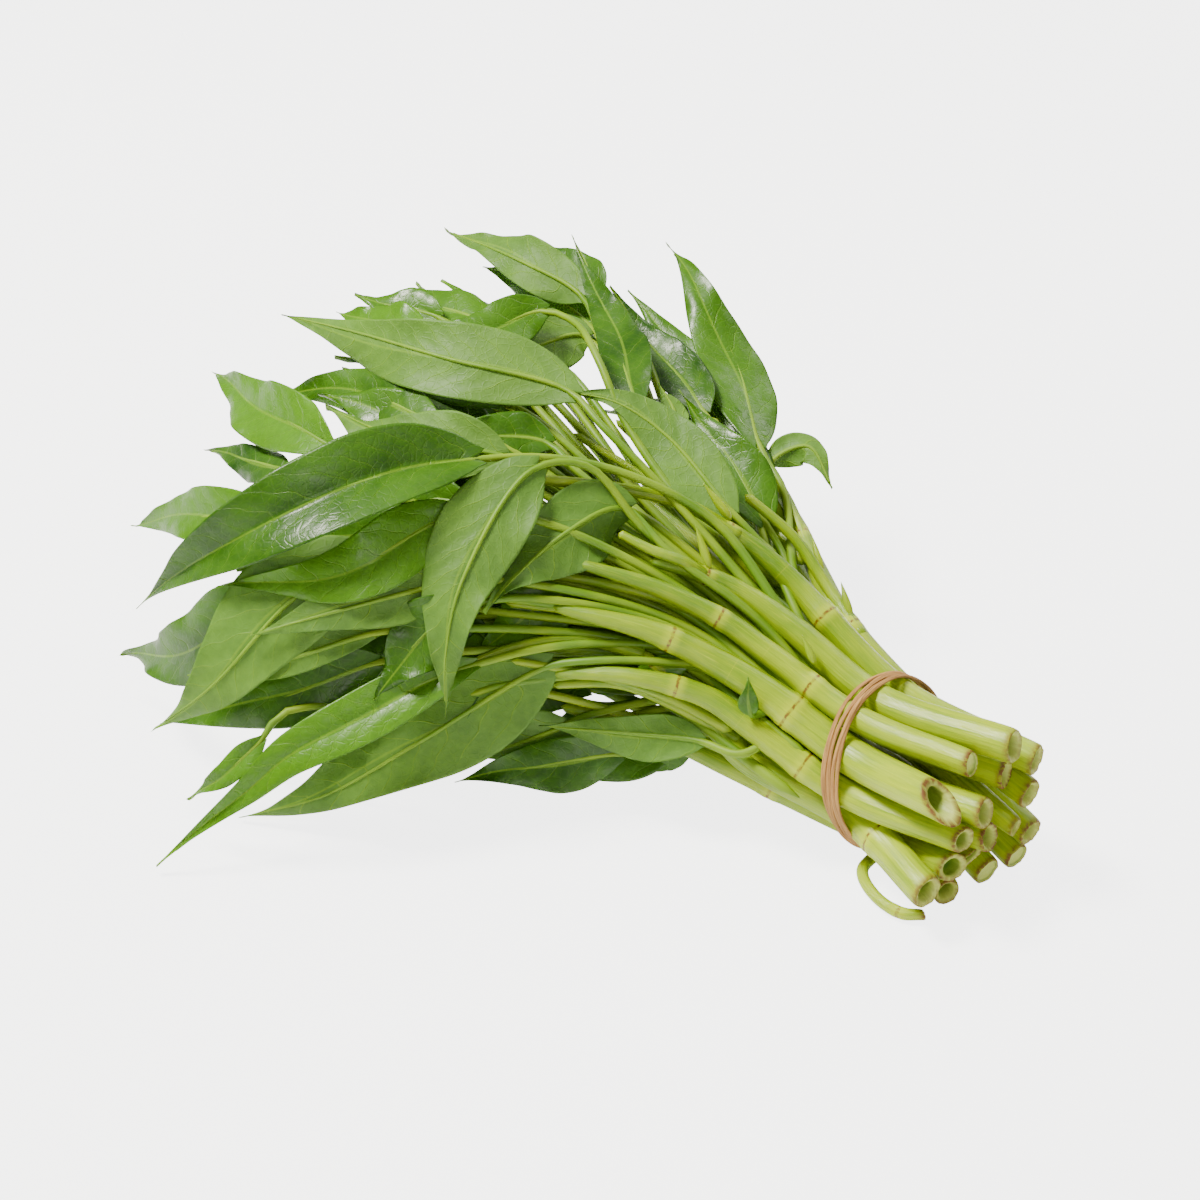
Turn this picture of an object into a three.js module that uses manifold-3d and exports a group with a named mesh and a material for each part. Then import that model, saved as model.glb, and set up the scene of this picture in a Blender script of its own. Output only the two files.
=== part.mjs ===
import * as THREE from 'three';
import Module from 'manifold-3d';

// A tied bunch of water spinach lying on its side. Millimetres, +Z up, the cut
// ends toward +X, the leaf tips toward -X. The origin is the point of the
// resting surface under the flat bottom of the tie.

// ---- driving sizes -------------------------------------------------------
const TIE_RADIUS = 24.6;       // inside the loop
const TIE_THICKNESS = 1.4;
const TIE_WIDTH = 5;
const TIE_FACETS = 24;
const TIE_BACK = -7;           // middle of the loop along X
const TIE_YAW = 0.11;          // X gained per mm of Y
const TIE_LEAN = -0.25;        // X gained per mm of height
const TIE_HEIGHT = TIE_RADIUS + TIE_THICKNESS;

const GAP = 0.3;               // air left between two pieces
const GROUND = 0.2;            // nothing but the tie comes lower than this
const STEM_SIDES = 8;
const STEM_STATIONS = 13;
const HOLLOW_DEPTH = 14;       // open bore behind a cut
const HOLLOW_SHARE = 0.55;     // bore radius over stem radius
const STEM_END_RADIUS = 1.4;
const STRAIGHT_SHARE = 0.25;   // share of a stem's length that keeps its radius
const TAPER_POWER = 1.8;       // how late the rest of it thins
const INNER_STEM = 4.7;        // largest radius in the inner layer
const OUTER_TURN = 0.07;       // where each layer starts round the loop, in radians
const INNER_TURN = 0.1;

const LEAF_THICKNESS = 0.9;
const PETIOLE_RADIUS = 1.3;
const BLADE_STATIONS = 9;
const PETIOLE_STATIONS = 4;
const BLADE_RISE = 0.6;        // exponents of the blade outline
const BLADE_FALL = 1.4;
const BLADE_LOBE = 0.14;       // how far the base corners reach back, of the width
const LOBE_END = 7;            // how fast the corners die out along the blade
const BASE_SHARE = 0.28;       // half width of the blade at its base, of the width
const TIP_HALF = 0.4;
const MIDRIB_EXTRA = 0.3;      // half thickness added at the base of the midrib
const LEAF_SAMPLES = 60;

// ---- stems ---------------------------------------------------------------
// [name, radius, layer in the loop (0 outer, 1 inner), points from the cut end
// to the loop, way points from the loop toward the leaves]. The order within a
// layer is the order round the loop, from the top and turning toward the back.
const STEMS = [
  ['stem_top', 5.0, 0, [[32, 0, 49]],
    [[-40, 3, 56], [-58, 1, 64], [-68, -4, 69], [-80, -13, 74]]],
  ['stem_arc', 4.6, 0, [[34, 11, 38]],
    [[-38, 15, 55], [-50, 17, 61], [-61, 16, 68], [-70, 13, 74], [-84, 8, 82]]],
  ['stem_back', 4.4, 0, [[35, 7, 29]],
    [[-38, 27, 46], [-55, 39, 51], [-70, 51, 56], [-84, 62, 58]]],
  ['stem_rear', 4.4, 0, [[36, 8, 15]],
    [[-45, 36, 34], [-75, 54, 40], [-110, 66, 46]]],
  ['stem_rear_low', 4.3, 0, [[33, 7, 5.5]],
    [[-45, 31, 15], [-80, 46, 18], [-115, 56, 26]]],
  ['stem_under', 4.4, 0, [[29, -3, 5]],
    [[-45, 16, 8], [-80, 26, 10], [-120, 34, 16]]],
  ['stem_floor', 4.2, 0, [[24, -17, 4.6]],
    [[-45, -2, 8], [-75, -3, 11], [-110, -6, 16]]],
  ['stem_hook', 1.7, 0, [[22, -27, 2.6], [17, -29.5, 2.4], [8, -28, 2.5], [-1, -21, 3.2]],
    [[-38, -14, 13], [-60, -19, 17]]],
  ['stem_low', 4.5, 0, [[27, -21, 18]],
    [[-45, -20, 20], [-72, -26, 26], [-95, -36, 30]]],
  ['stem_fork', 5.0, 0, [[25, -31, 15]],
    [[-41, -23, 28], [-52, -22, 35], [-61, -23, 43], [-74, -27, 53]]],
  ['stem_front', 4.2, 0, [[29, -20, 28]],
    [[-38, -22, 38], [-52, -25, 45], [-72, -35, 50], [-92, -44, 48]]],
  ['stem_slant', 5.4, 0, [[24, -25, 42]],
    [[-38, -16, 47], [-52, -18, 52], [-70, -25, 60], [-96, -38, 66]]],
  ['stem_joint', 3.9, 0, [[24, -9, 45]],
    [[-42, -8, 54], [-57, -10, 61], [-74, -17, 69], [-94, -28, 76]]],
  ['stem_core_top', 4.5, 1, [[29, 3, 36]],
    [[-24, 3, 42], [-48, 6, 50], [-80, 12, 64], [-115, 18, 76]]],
  ['stem_core_back', 3.8, 1, [[34, 2, 20]],
    [[-24, 11, 33], [-50, 20, 38], [-82, 32, 48], [-118, 44, 58]]],
  ['stem_core_low', 4.2, 1, [[28, -12, 16]],
    [[-24, 8, 20], [-50, 13, 23], [-82, 20, 30], [-120, 26, 40]]],
  ['stem_core_front', 4.3, 1, [[32, -10, 23.5]],
    [[-24, -6, 21], [-50, -8, 25], [-82, -10, 34], [-115, -14, 44]]],
  ['stem_core_side', 4.7, 1, [[31, -12, 33]],
    [[-24, -10, 36], [-50, -9, 43], [-80, -12, 52], [-112, -20, 62]]],
];

// ---- leaves --------------------------------------------------------------
// [name, width, fold in degrees, direction its showing side looks, 1 when the
// showing side is the underside, index of the point where the blade starts,
// points from the stem to the tip].
const LEAVES = [
  ['leaf_drape', 25, 12, [0.4, -0.8, 0.45], 1, 2,
    [[-84, -9, 80], [-102, -12, 97], [-112, -25, 99], [-113, -57, 79], [-111, -68, 62], [-109, -72, 42]]],
  ['leaf_sweep', 30, 32, [0.3, -0.6, 0.7], 0, 3,
    [[-70, 8, 78], [-88, 1, 89], [-108, -12, 97], [-128, -34, 101], [-156, -73, 98], [-177, -88, 84],
      [-206, -92, 52]]],
  ['leaf_crest', 24, 10, [0.5, -0.6, 0.6], 1, 2,
    [[-86, 4, 86], [-110, 5, 100], [-124, 9, 104], [-158, -3, 109], [-192, -2, 106], [-228, 4, 98]]],
  ['leaf_cup', 25, 22, [0.5, -0.6, 0.6], 1, 1,
    [[-76, -9, 76], [-92, -9, 85], [-99, -28, 84], [-105, -46, 75], [-108, -54, 68]]],
  ['leaf_front', 29, 10, [0.35, -0.75, 0.55], 1, 2,
    [[-66, -26, 52], [-83, -39, 53], [-94, -46, 50], [-116, -72, 32], [-138, -92, 14], [-162, -103, 2]]],
  ['leaf_spread', 20, 15, [0.3, -0.8, 0.5], 0, 1,
    [[-108, -32, 88], [-124, -46, 90], [-136, -69, 84], [-146, -78, 80], [-173, -92, 73]]],
  ['leaf_belly', 18, 10, [0.3, -0.8, 0.5], 1, 1,
    [[-106, -44, 74], [-120, -58, 75], [-137, -78, 72], [-158, -97, 65]]],
  ['leaf_quilt', 29, 10, [0.3, -0.8, 0.5], 1, 1,
    [[-128, -50, 78], [-145, -66, 80], [-153, -86, 71], [-167, -103, 48], [-187, -109, 27]]],
  ['leaf_tuck', 20, 10, [0.4, -0.8, 0.4], 0, 1,
    [[-102, -44, 70], [-114, -59, 69], [-121, -70, 61], [-126, -82, 47]]],
  ['leaf_shade', 20, 10, [0.5, -0.7, 0.5], 0, 1,
    [[-84, -24, 62], [-96, -28, 65], [-105, -42, 60], [-113, -52, 50]]],
  ['leaf_ribbon', 17, 25, [0.3, -0.8, 0.5], 0, 1,
    [[-86, -36, 56], [-108, -61, 54], [-126, -82, 46], [-141, -101, 36], [-150, -114, 22], [-166, -134, 3]]],
  ['leaf_front_dark', 18, 10, [0.3, -0.8, 0.5], 0, 1,
    [[-98, -50, 46], [-110, -60, 42], [-127, -70, 27], [-145, -77, 10]]],
  ['leaf_dark_low', 21, 10, [0.3, -0.8, 0.5], 0, 1,
    [[-120, -62, 54], [-133, -74, 52], [-154, -94, 42], [-190, -103, 24]]],
  ['leaf_left_far', 23, 15, [0.1, -0.8, 0.5], 0, 1,
    [[-150, -66, 72], [-167, -77, 64], [-186, -87, 46], [-231, -76, 15]]],
  ['leaf_left_tongue', 18, 15, [0.2, -0.7, 0.6], 0, 1,
    [[-162, -60, 84], [-180, -64, 80], [-208, -63, 67], [-243, -54, 46]]],
  ['leaf_left_high', 21, 20, [0.3, -0.7, 0.6], 0, 1,
    [[-160, -38, 88], [-176, -39, 92], [-209, -28, 88], [-250, -6, 75]]],
  ['leaf_left_mid', 21, 10, [0.4, -0.5, 0.75], 1, 1,
    [[-118, -14, 90], [-130, -18, 94], [-153, -28, 95], [-190, -22, 91]]],
  ['leaf_left_upper', 18, 10, [0.3, -0.6, 0.7], 0, 1,
    [[-138, -12, 94], [-153, -18, 97], [-181, -13, 94], [-220, -13, 80]]],
  ['leaf_ridge', 17, 10, [0.3, -0.5, 0.8], 0, 1,
    [[-168, 18, 92], [-190, 22, 95], [-208, 24, 92], [-226, 27, 89]]],
  ['leaf_ridge_back', 18, 10, [0.3, -0.4, 0.8], 0, 1,
    [[-162, 42, 88], [-182, 44, 92], [-203, 46, 90], [-224, 48, 83]]],
  ['leaf_hook', 18, 18, [0.3, -0.4, 0.85], 0, 3,
    [[-112, 22, 90], [-129, 31, 103], [-146, 43, 104], [-159, 44, 103], [-170, 22, 101], [-190, 14, 98]]],
  ['leaf_grey_top', 20, 5, [0.4, -0.5, 0.75], 1, 1,
    [[-135, 50, 86], [-152, 56, 91], [-158, 40, 93], [-165, 28, 92]]],
  ['leaf_saddle', 19, 8, [0.6, -0.5, 0.6], 1, 1,
    [[-60, 19, 66], [-75, 20, 76], [-100, 26, 88], [-117, 24, 95], [-131, 18, 97]]],
  ['leaf_lone', 21, 8, [0.7, -0.5, 0.5], 0, 2,
    [[-78, 56, 62], [-88, 62, 66], [-94, 66, 69], [-114, 86, 78], [-137, 98, 93], [-158, 111, 97]]],
  ['leaf_blade', 16, 12, [0.5, -0.6, 0.5], 0, 1,
    [[-104, 28, 78], [-117, 34, 90], [-150, 67, 92], [-167, 82, 96], [-181, 91, 102]]],
  ['leaf_back_fold', 19, 22, [0.7, -0.5, 0.5], 0, 1,
    [[-88, 50, 66], [-112, 62, 76], [-142, 78, 83], [-160, 82, 94]]],
  ['leaf_back_dark', 18, 10, [0.5, -0.6, 0.5], 0, 1,
    [[-92, 58, 60], [-110, 70, 66], [-137, 88, 76], [-162, 95, 86]]],
  ['leaf_fan_pale', 17, 10, [0.4, -0.6, 0.7], 1, 1,
    [[-148, 62, 86], [-168, 77, 91], [-192, 78, 95], [-229, 87, 91]]],
  ['leaf_fan_dark', 19, 10, [0.4, -0.6, 0.6], 0, 1,
    [[-144, 62, 80], [-164, 76, 82], [-187, 82, 85], [-214, 87, 82]]],
  ['leaf_skirt', 14, 6, [0.4, -0.8, 0.45], 1, 1,
    [[-38, -28, 33], [-52, -29, 32], [-71, -35, 30], [-97, -44, 27]]],
  ['leaf_skirt_near', 18, 12, [0.3, -0.9, 0.3], 0, 1,
    [[-54, -20, 28], [-63, -20, 24], [-71, -23, 16], [-79, -22, 4]]],
  ['leaf_skirt_far', 18, 12, [0.3, -0.9, 0.3], 0, 1,
    [[-78, -27, 28], [-86, -28, 23], [-94, -33, 14], [-103, -36, 3]]],
  ['leaf_rear_mid', 21, 12, [0.3, 0.8, 0.5], 0, 1,
    [[-104, 64, 46], [-120, 74, 50], [-145, 92, 46], [-182, 104, 30]]],
  ['leaf_rear_high', 22, 12, [0.1, 0.8, 0.6], 0, 1,
    [[-126, 62, 62], [-144, 76, 70], [-172, 92, 66], [-212, 96, 48]]],
  ['leaf_rear_drop', 22, 12, [0.4, 0.8, 0.3], 0, 1,
    [[-84, 52, 36], [-98, 66, 40], [-118, 86, 28], [-136, 102, 3]]],
  ['leaf_rear_low', 21, 8, [0.0, 0.6, 0.8], 0, 1,
    [[-116, 50, 26], [-132, 58, 28], [-160, 74, 18], [-196, 86, 3]]],
  ['leaf_end_high', 22, 12, [-0.3, 0.2, 0.9], 0, 1,
    [[-146, 30, 74], [-164, 34, 78], [-196, 44, 74], [-236, 52, 56]]],
  ['leaf_end_mid', 22, 12, [-0.4, 0.1, 0.9], 0, 1,
    [[-142, 4, 60], [-160, 6, 64], [-192, 12, 58], [-232, 16, 38]]],
  ['leaf_end_low', 22, 10, [-0.3, -0.2, 0.9], 0, 1,
    [[-128, -8, 42], [-146, -12, 44], [-176, -24, 34], [-212, -34, 12]]],
  ['leaf_floor', 22, 8, [0.0, 0.1, 0.9], 0, 1,
    [[-124, 26, 22], [-142, 28, 22], [-174, 30, 12], [-212, 34, 2]]],
  ['leaf_floor_front', 20, 8, [0.0, -0.2, 0.9], 0, 1,
    [[-104, -12, 18], [-122, -20, 20], [-150, -38, 12], [-186, -54, 2]]],
];

// ---- vectors and curves --------------------------------------------------
const vec = (p) => new THREE.Vector3(...p);

function route(points, count) {
  const curve = new THREE.CatmullRomCurve3(points.map(vec), false, 'centripetal');
  return curve.getSpacedPoints(count - 1);
}

function tangents(line) {
  return line.map((p, i) => {
    const before = line[Math.max(0, i - 1)];
    const after = line[Math.min(line.length - 1, i + 1)];
    return after.clone().sub(before).normalize();
  });
}

// ---- closed bodies -------------------------------------------------------
// Joins equal rings of points into one closed body with a fan over each end.
function loft(rings) {
  const n = rings[0].length;
  const vertices = rings.flat();
  const faces = [];
  for (let i = 0; i + 1 < rings.length; i += 1) {
    for (let j = 0; j < n; j += 1) {
      const a = i * n + j;
      const b = i * n + ((j + 1) % n);
      faces.push([a, b, b + n], [a, b + n, a + n]);
    }
  }
  const last = (rings.length - 1) * n;
  for (let j = 1; j + 1 < n; j += 1) {
    faces.push([0, j + 1, j], [last, last + j, last + j + 1]);
  }
  return { vertices, faces };
}

function solid(wasm, body) {
  const mesh = new wasm.Mesh({
    numProp: 3,
    vertProperties: Float32Array.from(body.vertices.flatMap((v) => [v.x, v.y, v.z])),
    triVerts: Uint32Array.from(body.faces.flat()),
  });
  const made = new wasm.Manifold(mesh);
  if (made.volume() > 0) {
    return made;
  }
  const turned = body.faces.map(([a, b, c]) => [a, c, b]);
  return solid(wasm, { vertices: body.vertices, faces: turned });
}

function ringRound(centre, along, side, radius) {
  const up = side.clone().cross(along).normalize();
  const across = along.clone().cross(up).normalize();
  return Array.from({ length: STEM_SIDES }, (_, j) => {
    const turn = ((j + 0.5) / STEM_SIDES) * 2 * Math.PI;
    return centre.clone()
      .addScaledVector(across, radius * Math.cos(turn))
      .addScaledVector(up, radius * Math.sin(turn));
  });
}

// ---- the loop of the tie -------------------------------------------------
// X of the loop's plane at a point of the bundle's section.
const loopX = (y, z) => TIE_BACK + TIE_YAW * y + TIE_LEAN * (z - TIE_HEIGHT);

function tieBody() {
  const rings = [];
  for (let i = 0; i < TIE_FACETS; i += 1) {
    const turn = ((i + 0.5) / TIE_FACETS) * 2 * Math.PI;
    const corner = (radius, shift) => {
      const reach = radius / Math.cos(Math.PI / TIE_FACETS);
      const y = reach * Math.sin(turn);
      const z = TIE_HEIGHT + reach * Math.cos(turn);
      return new THREE.Vector3(loopX(y, z) + shift, y, z);
    };
    rings.push([
      corner(TIE_RADIUS, -TIE_WIDTH / 2), corner(TIE_HEIGHT, -TIE_WIDTH / 2),
      corner(TIE_HEIGHT, TIE_WIDTH / 2), corner(TIE_RADIUS, TIE_WIDTH / 2),
    ]);
  }
  const vertices = rings.flat();
  const faces = [];
  for (let i = 0; i < TIE_FACETS; i += 1) {
    for (let j = 0; j < 4; j += 1) {
      const a = i * 4 + j;
      const b = i * 4 + ((j + 1) % 4);
      const c = ((i + 1) % TIE_FACETS) * 4 + ((j + 1) % 4);
      const d = ((i + 1) % TIE_FACETS) * 4 + j;
      faces.push([a, b, c], [a, c, d]);
    }
  }
  return { vertices, faces };
}

// Places the stems of one layer side by side inside a circle.
function packLayer(radii, reach, start) {
  const places = [];
  const spare = radii.map((r, i) => {
    const next = radii[(i + 1) % radii.length];
    const a = reach - r;
    const b = reach - next;
    const apart = r + next + GAP;
    return Math.acos((a * a + b * b - apart * apart) / (2 * a * b));
  });
  const used = spare.reduce((sum, v) => sum + v, 0);
  const slack = (2 * Math.PI - used) / radii.length;
  let turn = start;
  radii.forEach((r, i) => {
    places.push([(reach - r) * Math.sin(turn), TIE_HEIGHT + (reach - r) * Math.cos(turn)]);
    turn += spare[i] + slack;
  });
  return places;
}

// ---- stems ---------------------------------------------------------------
function stemBody(row, place, extra) {
  const [, radius, , cut, points] = row;
  const [y, z] = place;
  const line = route([...cut, [loopX(y, z), y, z], ...points], STEM_STATIONS);
  const along = tangents(line);
  const side = new THREE.Vector3(0, 1, 0);
  const share = (i) => i / (line.length - 1);
  const size = (i) => {
    const t = Math.max(0, share(i) - STRAIGHT_SHARE) / (1 - STRAIGHT_SHARE);
    return radius + (STEM_END_RADIUS - radius) * t ** TAPER_POWER + extra;
  };
  const outer = line.map((p, i) => {
    const low = GROUND + size(i) - extra;
    const centre = new THREE.Vector3(p.x, p.y, Math.max(p.z, low));
    return ringRound(centre, along[i], side, size(i));
  });
  if (extra) {
    return loft(outer);
  }
  const length = line[0].distanceTo(line[1]);
  const depth = Math.min(HOLLOW_DEPTH, length * 1.8);
  const bore = [0, depth].map((d) => {
    const centre = line[0].clone().addScaledVector(along[0], d);
    centre.z = Math.max(centre.z, GROUND + radius);
    return ringRound(centre, along[0], side, radius * HOLLOW_SHARE);
  });
  return loft([...outer.reverse(), ...bore]);
}

// ---- leaves --------------------------------------------------------------
function leafBody(row, extra) {
  const [, width, fold, look, under, start, points] = row;
  const line = route(points, LEAF_SAMPLES);
  const lengths = [0];
  for (let i = 1; i < line.length; i += 1) {
    lengths.push(lengths[i - 1] + line[i].distanceTo(line[i - 1]));
  }
  const base = vec(points[start]);
  const nearest = line.reduce((best, p, i) => (
    p.distanceTo(base) < line[best].distanceTo(base) ? i : best), 0);
  const whole = lengths[line.length - 1];
  const from = lengths[nearest];
  const stations = [];
  for (let i = 0; i < PETIOLE_STATIONS; i += 1) {
    stations.push((from * i) / PETIOLE_STATIONS);
  }
  for (let i = 0; i < BLADE_STATIONS; i += 1) {
    stations.push(from + ((whole - from) * i) / (BLADE_STATIONS - 1));
  }
  const curve = new THREE.CatmullRomCurve3(points.map(vec), false, 'centripetal');
  const peak = BLADE_RISE / (BLADE_RISE + BLADE_FALL);
  const outward = vec(look).normalize();
  const angle = (fold * Math.PI) / 180;
  const rings = stations.map((d) => {
    const u = Math.min(1, d / whole);
    const p = curve.getPointAt(u);
    const along = curve.getTangentAt(u);
    const normal = outward.clone().addScaledVector(along, -outward.dot(along)).normalize();
    const right = along.clone().cross(normal);
    const s = (d - from) / (whole - from);
    let half = PETIOLE_RADIUS;
    let thick = PETIOLE_RADIUS;
    let back = 0;
    if (s >= 0) {
      const shape = ((s / peak) ** BLADE_RISE) * (((1 - s) / (1 - peak)) ** BLADE_FALL);
      half = Math.max(TIP_HALF, (width / 2) * shape, s < 0.05 ? width * BASE_SHARE : 0);
      thick = LEAF_THICKNESS / 2 + MIDRIB_EXTRA * (1 - s);
      back = BLADE_LOBE * width * (1 - s) ** LOBE_END;
    }
    half += extra;
    thick += extra;
    const rise = under ? -Math.sin(angle) : Math.sin(angle);
    const place = (x, n) => {
      const q = p.clone()
        .addScaledVector(right, x * Math.cos(angle))
        .addScaledVector(normal, Math.abs(x) * rise + n)
        .addScaledVector(along, x === 0 ? 0 : -back);
      q.z = Math.max(q.z, GROUND + LEAF_THICKNESS / 2 + (n > 0 ? thick : 0) - extra);
      return q;
    };
    const edge = s < 0 ? thick * 0.5 : LEAF_THICKNESS / 3 + extra;
    return [
      place(half, edge), place(0, thick), place(-half, edge),
      place(-half, -edge), place(0, -thick), place(half, -edge),
    ];
  });
  return loft(rings);
}

// ---- the bunch -----------------------------------------------------------
const material = (colour, roughness) => new THREE.MeshStandardMaterial({
  color: colour, roughness, metalness: 0,
});

function largest(made) {
  const parts = made.decompose();
  return parts.reduce((best, one) => (one.volume() > best.volume() ? one : best));
}

function asMesh(name, made, look) {
  const out = made.getMesh();
  const geometry = new THREE.BufferGeometry();
  geometry.setAttribute('position', new THREE.BufferAttribute(out.vertProperties, 3));
  geometry.setIndex(new THREE.BufferAttribute(out.triVerts, 1));
  const flat = geometry.toNonIndexed();
  flat.computeVertexNormals();
  const mesh = new THREE.Mesh(flat, look);
  mesh.name = name;
  return mesh;
}

const wasm = await Module();
wasm.setup();

const layers = [0, 1].map((layer) => STEMS.filter((row) => row[2] === layer));
const outerReach = TIE_RADIUS - GAP;
const innerReach = outerReach - 2 * INNER_STEM - GAP;
const places = new Map();
packLayer(layers[0].map((row) => row[1]), outerReach, OUTER_TURN)
  .forEach((place, i) => places.set(layers[0][i][0], place));
packLayer(layers[1].map((row) => row[1]), innerReach, INNER_TURN)
  .forEach((place, i) => places.set(layers[1][i][0], place));

const bunch = new THREE.Group();
bunch.name = 'water_spinach_bunch';
const taken = [];

function add(name, body, grown, look) {
  let made = solid(wasm, body);
  taken.forEach((other) => {
    const cut = made.subtract(other);
    if (cut.volume() < made.volume() - 1e-9) {
      made = largest(cut);
    }
  });
  taken.push(solid(wasm, grown));
  bunch.add(asMesh(name, made, look));
}

STEMS.forEach((row) => {
  const place = places.get(row[0]);
  add(row[0], stemBody(row, place, 0), stemBody(row, place, GAP), material(0xb7cf6a, 0.45));
});
add('tie', tieBody(), tieBody(), material(0xb98a55, 0.8));
LEAVES.forEach((row) => {
  const colour = row[4] ? 0x8fb06a : 0x2f7a26;
  add(row[0], leafBody(row, 0), leafBody(row, GAP), material(colour, 0.5));
});

export default bunch;
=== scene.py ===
"""A tied bunch of water spinach lying on its side, with its studio."""

import math

import bpy
import numpy as np
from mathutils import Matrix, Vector


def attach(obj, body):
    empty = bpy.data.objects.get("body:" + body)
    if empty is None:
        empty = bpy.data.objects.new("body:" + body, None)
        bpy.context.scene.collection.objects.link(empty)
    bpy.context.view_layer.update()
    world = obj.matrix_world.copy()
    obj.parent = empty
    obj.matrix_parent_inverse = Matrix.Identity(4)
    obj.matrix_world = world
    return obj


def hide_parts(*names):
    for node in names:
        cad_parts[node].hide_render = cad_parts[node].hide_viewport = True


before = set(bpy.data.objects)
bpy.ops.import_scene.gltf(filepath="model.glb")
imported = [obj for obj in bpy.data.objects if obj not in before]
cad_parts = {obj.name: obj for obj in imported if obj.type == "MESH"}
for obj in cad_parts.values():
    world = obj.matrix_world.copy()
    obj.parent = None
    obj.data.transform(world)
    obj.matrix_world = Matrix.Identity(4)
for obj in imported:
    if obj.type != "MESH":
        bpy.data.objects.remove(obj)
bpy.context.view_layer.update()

bl_info = {
    "name": "Water Spinach Bunch",
    "version": (1, 0, 0),
    "blender": (4, 5, 0),
    "location": "3D View > Sidebar > Bunch",
    "description": "Builds a tied bunch of water spinach and a plain studio",
    "category": "Add Mesh",
}

MM = 0.001
GROUND = 0.3
STEM_END = 1.4

# ---- the tie's loop, in millimetres --------------------------------------
TIE_RADIUS = 24.6
TIE_THICKNESS = 1.4
TIE_HEIGHT = TIE_RADIUS + TIE_THICKNESS
TIE_BACK = -7.0
TIE_YAW = 0.11
TIE_LEAN = -0.25
GAP = 0.3
INNER_REACH = TIE_RADIUS - GAP - 2 * 4.7 - GAP

STEMS = [
  ['stem_top', 5.0, 0, [[32, 0, 49]],
    [[-40, 3, 56], [-58, 1, 64], [-68, -4, 69], [-80, -13, 74]]],
  ['stem_arc', 4.6, 0, [[34, 11, 38]],
    [[-38, 15, 55], [-50, 17, 61], [-61, 16, 68], [-70, 13, 74], [-84, 8, 82]]],
  ['stem_back', 4.4, 0, [[35, 7, 29]],
    [[-38, 27, 46], [-55, 39, 51], [-70, 51, 56], [-84, 62, 58]]],
  ['stem_rear', 4.4, 0, [[36, 8, 15]],
    [[-45, 36, 34], [-75, 54, 40], [-110, 66, 46]]],
  ['stem_rear_low', 4.3, 0, [[33, 7, 5.5]],
    [[-45, 31, 15], [-80, 46, 18], [-115, 56, 26]]],
  ['stem_under', 4.4, 0, [[29, -3, 5]],
    [[-45, 16, 8], [-80, 26, 10], [-120, 34, 16]]],
  ['stem_floor', 4.2, 0, [[24, -17, 4.6]],
    [[-45, -2, 8], [-75, -3, 11], [-110, -6, 16]]],
  ['stem_hook', 1.7, 0, [[22, -27, 2.6], [17, -29.5, 2.4], [8, -28, 2.5], [-1, -21, 3.2]],
    [[-38, -14, 13], [-60, -19, 17]]],
  ['stem_low', 4.5, 0, [[27, -21, 18]],
    [[-45, -20, 20], [-72, -26, 26], [-95, -36, 30]]],
  ['stem_fork', 5.0, 0, [[25, -31, 15]],
    [[-41, -23, 28], [-52, -22, 35], [-61, -23, 43], [-74, -27, 53]]],
  ['stem_front', 4.2, 0, [[29, -20, 28]],
    [[-38, -22, 38], [-52, -25, 45], [-72, -35, 50], [-92, -44, 48]]],
  ['stem_slant', 5.4, 0, [[24, -25, 42]],
    [[-38, -16, 47], [-52, -18, 52], [-70, -25, 60], [-96, -38, 66]]],
  ['stem_joint', 3.9, 0, [[24, -9, 45]],
    [[-42, -8, 54], [-57, -10, 61], [-74, -17, 69], [-94, -28, 76]]],
  ['stem_core_top', 4.5, 1, [[29, 3, 36]],
    [[-24, 3, 42], [-48, 6, 50], [-80, 12, 64], [-115, 18, 76]]],
  ['stem_core_back', 3.8, 1, [[34, 2, 20]],
    [[-24, 11, 33], [-50, 20, 38], [-82, 32, 48], [-118, 44, 58]]],
  ['stem_core_low', 4.2, 1, [[28, -12, 16]],
    [[-24, 8, 20], [-50, 13, 23], [-82, 20, 30], [-120, 26, 40]]],
  ['stem_core_front', 4.3, 1, [[32, -10, 23.5]],
    [[-24, -6, 21], [-50, -8, 25], [-82, -10, 34], [-115, -14, 44]]],
  ['stem_core_side', 4.7, 1, [[31, -12, 33]],
    [[-24, -10, 36], [-50, -9, 43], [-80, -12, 52], [-112, -20, 62]]],
]

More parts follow.
